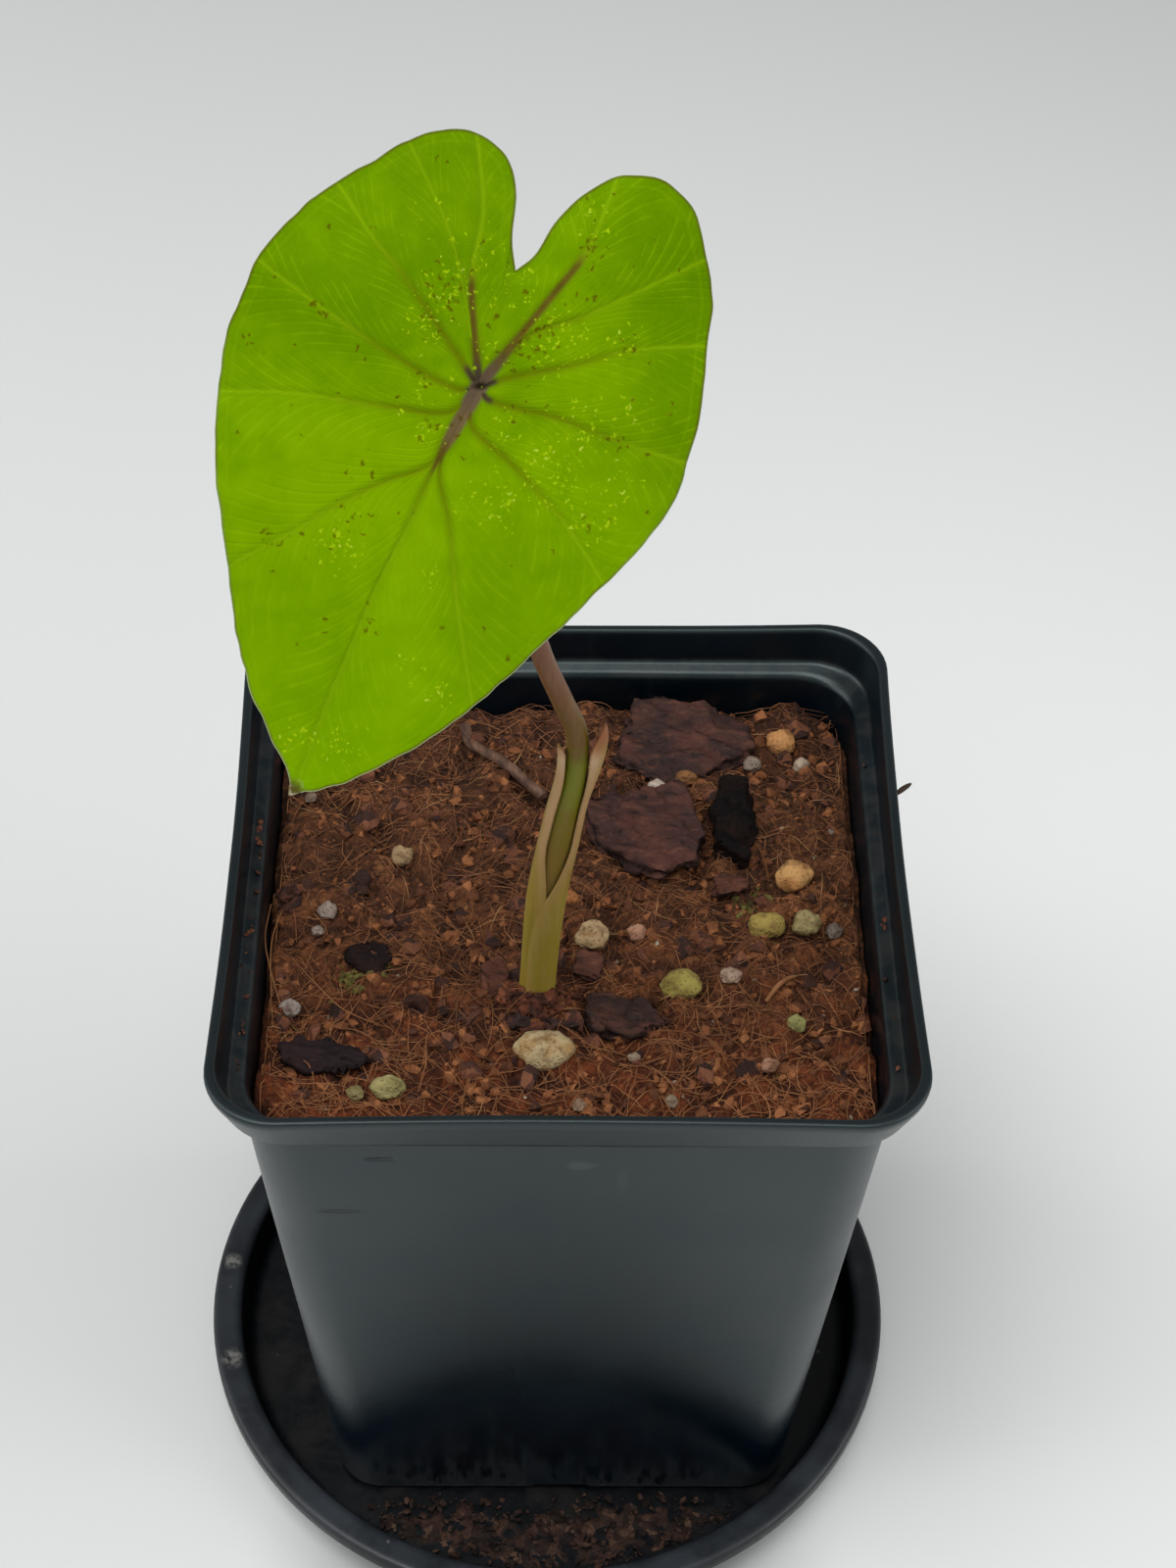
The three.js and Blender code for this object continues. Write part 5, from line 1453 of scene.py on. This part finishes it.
def pot_finish():
    """Injection moulded polypropylene: dark grey with a satin skin; its rim and ledge are paler with dust
    and a painted highlight.
    """
    finish, tree, shader, place = new_finish("polypropylene_moulded_pot", {
        "IOR": 1.51, "Specular Tint": "eaffff",
    })
    parts = add(tree, "SeparateXYZ", {"Vector": place})
    skin = add(tree, "TexNoise", {"Vector": place, "Scale": per_mm(0.5), "Detail": 3.0})
    cloud = add(tree, "TexNoise", {"Vector": place, "Scale": per_mm(18), "Detail": 5.0})
    run_place = add(tree, "Mapping", {"Vector": place, "Scale": (1.0, 1.0, 0.18)})
    runs = add(tree, "TexNoise", {"Vector": run_place, "Scale": per_mm(3.0), "Detail": 4.0})
    colour = add(tree, "Mix", (add(tree, "MapRange", (cloud, 0.35, 0.7)), "000810", "020d17"))
    colour = add(tree, "Mix", (add(tree, "MapRange", (runs, 0.6, 0.74, 0.0, 0.2)), colour, "1a2423"))
    across = add(tree, "Math", (
        add(tree, "Math", (
            add(tree, "Math", (parts.outputs["X"], POT_X * MM), operation="SUBTRACT"),
        ), operation="ABSOLUTE"),
        add(tree, "Math", (
            add(tree, "Math", (parts.outputs["Y"], POT_Y * MM), operation="SUBTRACT"),
        ), operation="ABSOLUTE"),
    ), operation="MAXIMUM")
    step = (POT_RIM - LEDGE_DROP) * MM
    ledge = add(tree, "Math", (
        add(tree, "MapRange", (parts.outputs["Z"], step - 1.5 * MM, step - 0.5 * MM)),
        add(tree, "MapRange", (parts.outputs["Z"], step + 0.2 * MM, step + 0.9 * MM, 1.0, 0.0)),
    ), operation="MULTIPLY")
    ledge = add(tree, "Math", (
        ledge, add(tree, "MapRange", (across, (RIM_HALF - 1.9) * MM, (RIM_HALF - 1.1) * MM, 1.0, 0.0)),
    ), operation="MULTIPLY")
    # Dust on the inner ledge, which also serves as a painted highlight along it
    film = add(tree, "Math", (
        ledge, add(tree, "MapRange", (runs, 0.38, 0.6, 0.05, 0.4)),
    ), operation="MULTIPLY")
    colour = add(tree, "Mix", (film, colour, "33302c"))
    # Paler top of the rim: dust and a painted highlight along its edge
    lip = add(tree, "MapRange", (parts.outputs["Z"], (POT_RIM - 0.9) * MM, (POT_RIM - 0.2) * MM, 0.0, 0.5))
    colour = add(tree, "Mix", (lip, colour, "1d2122"))
    dents = 0.0
    for x, z, wide, high, code, strength in MARKS:
        away = add(tree, "Mapping", {
            "Vector": place, "Location": (-x / wide, 0.0, -z / high),
            "Scale": (1 / (wide * MM), 0.0, 1 / (high * MM)),
        })
        gap = add(tree, "Math", (
            add(tree, "VectorMath", (away,), operation="LENGTH"), runs,
        ), operation="ADD")
        front = add(tree, "MapRange", (parts.outputs["Y"], -0.036, -0.034, strength, 0.0))
        mark = add(tree, "Math", (
            add(tree, "MapRange", (gap, 0.8, 1.5, 1.0, 0.0)), front,
        ), operation="MULTIPLY")
        colour = add(tree, "Mix", (mark, colour, code))
        if strength > 0.6:
            dents = add(tree, "Math", (dents, mark), operation="ADD")
    bump_height = add(tree, "Math", (
        skin, add(tree, "Math", (runs, 0.1), operation="MULTIPLY"),
    ), operation="ADD")
    bump_height = add(tree, "Math", (
        bump_height, add(tree, "Math", (dents, -30.0), operation="MULTIPLY"),
    ), operation="ADD")
    bump = add(tree, "Bump", {"Height": bump_height, "Strength": 0.25, "Distance": 0.06 * MM})
    rough = add(tree, "Math", (
        add(tree, "MapRange", (cloud, 0.3, 0.7, 0.3, 0.38)),
        add(tree, "Math", (lip, 0.1), operation="MULTIPLY"),
    ), operation="ADD")
    rough = add(tree, "Math", (
        rough, add(tree, "MapRange", (parts.outputs["Z"], 0.015, 0.05, 0.14, 0.0)),
    ), operation="SUBTRACT")
    dress(tree, shader, colour, rough, bump)
    return finish


def saucer_finish():
    """Moulded polypropylene tray: satin black under a film of dust and dried mix, its lip greyer with dust
    and a painted highlight.
    """
    finish, tree, shader, place = new_finish("polypropylene_moulded_saucer", {
        "IOR": 1.46, "Specular IOR Level": 0.42,
    })
    parts = add(tree, "SeparateXYZ", {"Vector": place})
    cloud = add(tree, "TexNoise", {"Vector": place, "Scale": per_mm(9), "Detail": 6.0})
    dust = add(tree, "TexNoise", {"Vector": place, "Scale": per_mm(1.1), "Detail": 5.0, "Roughness": 0.65})
    motes = add(tree, "TexVoronoi", {"Vector": place, "Scale": per_mm(2.6)}, feature="F1")
    colour = add(tree, "Mix", (add(tree, "MapRange", (dust, 0.4, 0.7, 0.0, 0.6)), "030508", "080b10"))
    # Greyer lip: dust and a painted highlight
    lip = add(tree, "MapRange", (parts.outputs["Z"], 6.9 * MM, 7.8 * MM))
    colour = add(tree, "Mix", (
        add(tree, "Math", (
            lip, add(tree, "MapRange", (cloud, 0.35, 0.65, 0.3, 0.7)),
        ), operation="MULTIPLY"),
        colour, "33373c",
    ))
    inside = add(tree, "MapRange", (parts.outputs["Z"], 1.5 * MM, 5.0 * MM, 1.0, 0.0))
    soiled = add(tree, "Math", (
        inside, add(tree, "MapRange", (cloud, 0.48, 0.66, 0.0, 0.5)),
    ), operation="MULTIPLY")
    colour = add(tree, "Mix", (soiled, colour, "100b0a"))
    mote = add(tree, "MapRange", (motes.outputs["Distance"], 0.07, 0.12, 0.7, 0.0))
    lot = add(tree, "SeparateColor", {"Color": motes.outputs["Color"]})
    mote = add(tree, "Math", (
        mote, add(tree, "Math", (lot.outputs["Red"], 0.22), operation="LESS_THAN"),
    ), operation="MULTIPLY")
    colour = add(tree, "Mix", (mote, colour, "5c5854"))
    for x, y, size in LIP_SMUDGES:
        away = add(tree, "VectorMath", (place, (x * MM, y * MM, 8 * MM)), operation="DISTANCE")
        smudge = add(tree, "MapRange", (
            add(tree, "Math", (away, 1 / (size * MM)), operation="MULTIPLY"), 0.4, 1.2, 0.6, 0.0,
        ))
        colour = add(tree, "Mix", (
            add(tree, "Math", (smudge, add(tree, "MapRange", (dust, 0.4, 0.6))), operation="MULTIPLY"),
            colour, "8a8782",
        ))
    bump = add(tree, "Bump", {"Height": dust, "Strength": 0.3, "Distance": 0.08 * MM})
    rough = add(tree, "Math", (
        add(tree, "MapRange", (dust, 0.3, 0.7, 0.3, 0.42)),
        add(tree, "Math", (soiled, 0.25), operation="MULTIPLY"),
    ), operation="ADD")
    dress(tree, shader, colour, rough, bump)
    return finish


def floor_finish():
    """Smooth white board: a matte ground with painted light and shade, darker far back and to the right,
    lighter on the right near the pot, with a painted shadow in front of the saucer.
    """
    finish, tree, shader, place = new_finish("board_matte_white", {
        "Specular IOR Level": 0.2, "Roughness": 0.9,
    })
    parts = add(tree, "SeparateXYZ", {"Vector": place})
    # Painted light falloff: darker far back and to the right
    far = add(tree, "MapRange", (
        add(tree, "Math", (
            parts.outputs["Y"], add(tree, "Math", (parts.outputs["X"], 0.4), operation="MULTIPLY"),
        ), operation="ADD"),
        0.08, 0.55,
    ))
    # Painted light: lighter on the right, near the pot
    near = add(tree, "Mix", (add(tree, "MapRange", (parts.outputs["X"], -0.12, 0.12)), "d6d8d7", "e1e3e2"))
    colour = add(tree, "Mix", (far, near, "b8baba"))
    # Painted shadow close in front of the saucer, where the pot's lower wall mirrors it
    front = add(tree, "VectorMath", (place, (0.0, -0.045, 0.0)), operation="DISTANCE")
    colour = add(tree, "Mix", (add(tree, "MapRange", (front, 0.014, 0.046, 0.75, 0.0)), colour, "787a7a"))
    dress(tree, shader, colour)
    return finish


# Marks on the pot's front: place across and up, half width and half height, colour and strength
MARKS = [
    (-21.6, 92.6, 2.4, 0.6, "020303", 0.9), (-27.0, 80.2, 3.2, 0.5, "060808", 0.7),
    (3.8, 91.3, 2.6, 1.2, "3a3f3d", 0.5), (9.0, 88.0, 1.0, 4.0, "2c3130", 0.35),
]

# Pale smudges on the saucer's lip: place and size
LIP_SMUDGES = [(-48.9, 6.1, 1.5), (-47.6, -11.6, 1.8)]

# Grains of pumice and perlite: dry colour and the stain in their pores
GRAINS = {
    "pumice_cream": ("baa67d", "a37c47"),
    "perlite_by_stem": ("b59a72", "8a6236"),
    "pumice_orange_small": ("b87840", "8a5028"),
    "perlite_pink": ("b0846a", "80573f"),
    "pumice_olive_front": ("a3944a", "7d6a2c"),
    "perlite_right": ("b59a86", "8a6a55"),
    "perlite_pale_green": ("94925a", "6b6c3c"),
    "pumice_orange": ("c9995f", "a8703c"),
    "pumice_olive_a": ("a38f48", "7c672a"),
    "pumice_olive_b": ("9a8c5e", "6e6238"),
    "perlite_grey": ("85776c", "5e524a"),
    "pumice_corner": ("c08a55", "9a6236"),
    "perlite_corner": ("b5a28e", "8a7764"),
    "perlite_corner_grey": ("8c7d70", "665a50"),
    "perlite_by_bark": ("c4b2a6", "988678"),
    "pumice_by_bark": ("8b5e35", "6b401f"),
    "pumice_tan": ("a18763", "7e6443"),
    "perlite_left": ("94857a", "6c5f56"),
    "perlite_left_small": ("94857a", "6c5f56"),
    "perlite_left_front": ("9a8f88", "746a64"),
    "pumice_left_front": ("a59a66", "6f6a38"),
    "pumice_left_small": ("978a5e", "6a6036"),
    "perlite_front_right": ("a87d64", "805840"),
    "perlite_dot_a": ("96836f", "6d5c4a"),
    "perlite_dot_b": ("96836f", "6d5c4a"),
    "perlite_dot_c": ("967b64", "6d543f"),
    "perlite_dot_d": ("8c7b6c", "665648"),
}

# Bark chips: colour of their plates, growth over the plain solid and shift in millimetres
CHIPS = {
    "bark_plate_back": ("321f1c", (1.28, 1.5, 1.0), (2.8, -1.2, 0.1)),
    "bark_plate_middle": ("3d2420", (1.2, 1.3, 1.0), (-0.3, 1.1, 0.1)),
    "bark_black": ("0a0809", (1.05, 1.15, 1.1), (-0.7, 0.2, 0.2)),
    "bark_red_small": ("4b2a1d", (1.1, 1.1, 1.0), (0.0, 0.0, 0.0)),
    "bark_by_stem_back": ("4a2a1f", (1.1, 1.1, 1.0), (0.0, 0.0, 0.3)),
    "bark_by_stem_right": ("2e1c18", (1.3, 1.15, 1.0), (0.0, 0.0, 0.2)),
    "bark_by_stem_front": ("2c1a15", (1.3, 1.2, 1.0), (0.0, 0.0, 0.4)),
    "bark_by_stem_left": ("532e20", (1.1, 1.1, 1.0), (0.0, 0.0, 0.3)),
    "bark_purple": ("251c1e", (1.45, 0.85, 0.6), (0.0, 0.6, -0.1)),
    "bark_dark_small": ("1f1616", (1.3, 1.2, 0.8), (0.0, 0.0, 0.0)),
}

CHARRED = ("bark_black", "bark_dark_small", "bark_purple")
BARK_TURN = -0.52

# Seed of the noise vectors that bend the bark's broken edges; unset, they start from the clock
BARK_SEED = 1795639646

# Coir fibres: name, seed, number, length and radius in millimetres, darker and lighter colour
FIBRES = [
    ("coir_dark", 11, 1400, 3.0, 11.0, 0.05, 0.10, "392014", "653d27"),
    ("coir_brown", 12, 1900, 3.0, 13.0, 0.03, 0.08, "714629", "95623f"),
    ("coir_pale", 13, 190, 3.0, 14.0, 0.04, 0.09, "835737", "a98155"),
]
CRUMB_TONES = [(0.1, "2e190f"), (0.5, "633a22"), (0.75, "83502f"), (1.0, "a66d44")]
FLAKE_TONES = [(0.1, "20130f"), (0.45, "3b241d"), (0.7, "5f3827"), (0.95, "7c4e36")]
SPECK_TONES = [(0.1, "5e5043"), (0.5, "857666"), (0.95, "b3a693")]
SPILL_TONES = [(0.1, "100a07"), (0.5, "21140f"), (0.75, "35221a"), (1.0, "5c4534")]
LITTER_TONES = [(0.1, "2a1610"), (0.5, "502a1c"), (0.95, "7a452c")]
MOSS_TONES = [(0.1, "2f2a14"), (0.5, "524a20"), (0.95, "6f6a34")]

# Places on the mix where moss has grown and where dark bark fines lie together, then strands that
# stand off the mix, each point with its height over it and its radius, and one strand on the rim
MOSS_SPOTS = [(-24.9, -8.5), (-22.8, -7.0), (-26.6, -9.6), (26.7, 4.9)]
DARK_SPOTS = [(-35.5, 4.4), (-24.0, -5.0), (-12.4, 8.2), (-21.0, 1.0), (20.0, -3.0), (6.5, -19.0)]
STRAYS = [
    [
        (-37.6, 2.7, 0.6, 0.08), (-37.9, -4.0, 1.4, 0.08),
        (-36.4, -11.0, 1.2, 0.08), (-34.7, -16.0, 0.0, 0.06),
    ],
    [
        (-36.2, 2.0, 0.2, 0.07), (-36.9, -5.5, 1.6, 0.07),
        (-36.6, -12.5, 1.0, 0.06), (-36.0, -18.0, 0.0, 0.05),
    ],
    [
        (-26.2, -21.7, 0.2, 0.07), (-25.2, -24.0, 1.6, 0.08),
        (-23.9, -26.0, 1.2, 0.07), (-23.1, -27.6, 0.0, 0.06),
    ],
    [
        (28.0, -12.8, 0.1, 0.3), (29.6, -11.2, 0.7, 0.36),
        (31.0, -9.6, 0.7, 0.3), (32.3, -8.2, 0.1, 0.18),
    ],
    [
        (-34.5, -6.0, 0.0, 0.07), (-30.5, -11.5, 1.3, 0.08),
        (-27.0, -15.5, 0.8, 0.07), (-22.0, -17.0, 0.0, 0.05),
    ],
]
RIM_STRAY = [
    (46.3, 15.7, 103.1, 0.25), (47.2, 16.3, 103.5, 0.42),
    (48.0, 16.9, 103.6, 0.36), (48.6, 17.6, 103.4, 0.14),
]


def camera_matrix():
    pitch, yaw, roll = (math.radians(v) for v in (CAMERA_PITCH, CAMERA_YAW, CAMERA_ROLL))
    ahead = Vector((math.sin(yaw) * math.cos(pitch), math.cos(yaw) * math.cos(pitch), -math.sin(pitch)))
    right = Vector((math.cos(yaw), -math.sin(yaw), 0.0))
    up = right.cross(ahead)
    right, up = math.cos(roll) * right + math.sin(roll) * up, math.cos(roll) * up - math.sin(roll) * right
    turn = Matrix((right, up, -ahead)).transposed()
    return Matrix.Translation(Vector(CAMERA_AT) * MM) @ turn.to_4x4()


def set_camera():
    lens = bpy.data.cameras.new("camera")
    lens.lens = CAMERA_LENS
    lens.sensor_width = SENSOR
    lens.clip_start = 0.01
    camera = loose_object("camera", lens)
    camera.matrix_world = camera_matrix()
    bpy.context.scene.camera = camera


def lamp(name, power, size, place, target=(0.0, 0.0, 0.08)):
    """A square soft light that faces its target."""
    light = bpy.data.lights.new(name, "AREA")
    light.energy = power
    light.size = size
    made = loose_object(name, light)
    made.location = place
    made.rotation_euler = (Vector(target) - Vector(place)).to_track_quat("-Z", "Y").to_euler()


def set_world():
    """Pale surroundings, darker high up behind the plant, where smooth plastic mirrors them."""
    world = bpy.data.worlds.new("studio")
    world.use_nodes = True
    tree = world.node_tree
    back = tree.nodes["Background"]
    back.inputs["Color"].default_value = tint("f1f2f2")
    way = add(tree, "TexCoord").outputs["Generated"]
    parts = add(tree, "SeparateXYZ", {"Vector": way})
    behind = add(tree, "MapRange", (parts.outputs["Y"], 0.05, 0.6))
    high = add(tree, "MapRange", (parts.outputs["Z"], 0.1, 0.5))
    strength = add(tree, "MapRange", (
        add(tree, "Math", (behind, high), operation="MULTIPLY"), 0.0, 1.0, 0.56, 0.14,
    ))
    tree.links.new(strength.outputs["Result"], back.inputs["Strength"])
    bpy.context.scene.world = world


def set_studio():
    set_world()
    bpy.context.scene.view_settings.view_transform = "Standard"
    lamp("overhead", 14.0, 1.0, (-0.3, -0.35, 1.5))
    lamp("left", 6.4, 1.1, (-1.3, 0.0, 0.9))
    lamp("right", 7.8, 1.1, (1.3, -0.2, 0.9))
    bm = bmesh.new()
    bmesh.ops.create_grid(bm, x_segments=1, y_segments=1, size=3.0)
    mesh = bpy.data.meshes.new("floor")
    bm.to_mesh(mesh)
    bm.free()
    mesh.materials.append(floor_finish())
    loose_object("floor", mesh)


def make_holder():
    piece("saucer_dish", saucer_shape(), saucer_finish(), ["saucer"], sharp=32)
    shell = cut_away(pot_shape(), pot_cutters())
    piece("pot_shell", shell, pot_finish(), ["nursery_pot"], sharp=32)


def strew(name, seed, count, small, large, place, finish, sharp=60):
    """A piece of loose crumbs of one kind: seed, number, smallest and largest size, rule for places."""
    piece(name, crumb_shape(seed, count, small, large, place), finish, sharp=sharp)


def make_mix():
    piece("coir_surface", soil_shape(), mix_finish(), ["potting_mix"], sharp=80)
    crumbs = crumb_finish("coir_crumbs_broken", CRUMB_TONES)
    flakes = crumb_finish("bark_fines_broken", FLAKE_TONES)
    specks = crumb_finish("perlite_dust_broken", SPECK_TONES)
    moss = crumb_finish("moss_on_coir", MOSS_TONES)
    litter = crumb_finish("bark_litter_red", LITTER_TONES)
    washed = crumb_finish("coir_washed_damp", SPILL_TONES)
    strew("coir_crumbs", 21, 2600, 0.25, 1.25, on_mix, crumbs)
    strew("bark_fines", 22, 160, 0.9, 2.3, on_mix, flakes, 30)
    strew("perlite_dust", 23, 60, 0.25, 0.6, on_mix, specks, 50)
    strew("ledge_crumbs", 24, 70, 0.15, 0.6, on_ledge, flakes)
    for name, seed, count, shortest, longest, thin, thick, dark, light in FIBRES:
        routes = coir_routes(seed, count, shortest, longest, thin, thick)
        finish = fibre_finish(name + "_stripped", dark, light)
        piece(name, strand_mesh(name, routes), finish, sharp=80)
    strew("moss_crumbs", 26, 170, 0.25, 0.8, close_to(MOSS_SPOTS, 1.3), moss)
    strew("dark_fines", 27, 60, 0.5, 1.7, close_to(DARK_SPOTS, 0.9), flakes, 30)
    strew("stem_litter", 28, 150, 0.3, 1.3, by_the_stem, litter, 40)
    strays = strand_mesh("stray_strands", [stray_route(points) for points in STRAYS], sides=1)
    dried = fibre_finish("stray_coir_dried", "7d5233", "94663f")
    piece("stray_strands", strays, dried, sharp=80)
    rim_stray = strand_mesh("rim_stray", [smooth_route(RIM_STRAY, 5)], sides=1)
    damp = fibre_finish("rim_strand_damp", "1d1512", "3a2a20")
    piece("rim_stray", rim_stray, damp, sharp=80)
    piece("spill_heap", spill_shape(), washed, ["spilled_mix"], sharp=80)
    strew("spill_crumbs", 25, 520, 0.15, 0.8, spill_spot, washed)


def make_stones():
    noise.seed_set(BARK_SEED)
    for node, (code, stain) in GRAINS.items():
        finish = pumice_finish(node, code, stain)
        piece(node + "_stone", grain_shape(node), finish, [node], sharp=70)
    for node, (code, grow, shift) in CHIPS.items():
        finish = bark_finish(node, code)
        piece(node + "_flake", flake_shape(node, grow, shift), finish, [node], sharp=50)
    piece("twig_kinked", twig_shape(), twig_finish(), ["twig"], sharp=50)


def make_plant():
    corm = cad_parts["corm"]
    finish = corm_finish()
    for slot in corm.material_slots:
        slot.material = finish
    petiole = strand_mesh("petiole", [petiole_route()], sides=8)
    piece("petiole", petiole, stalk_finish(), ["leaf_stalk"], sharp=60)
    piece("sheath_wings", sheath_shape(), sheath_finish(), ["stalk_sheath"], sharp=60)
    piece("heart_blade", blade_shape(), leaf_finish(), ["leaf_blade"], sharp=60)


set_camera()
set_studio()
make_holder()
make_mix()
make_stones()
make_plant()
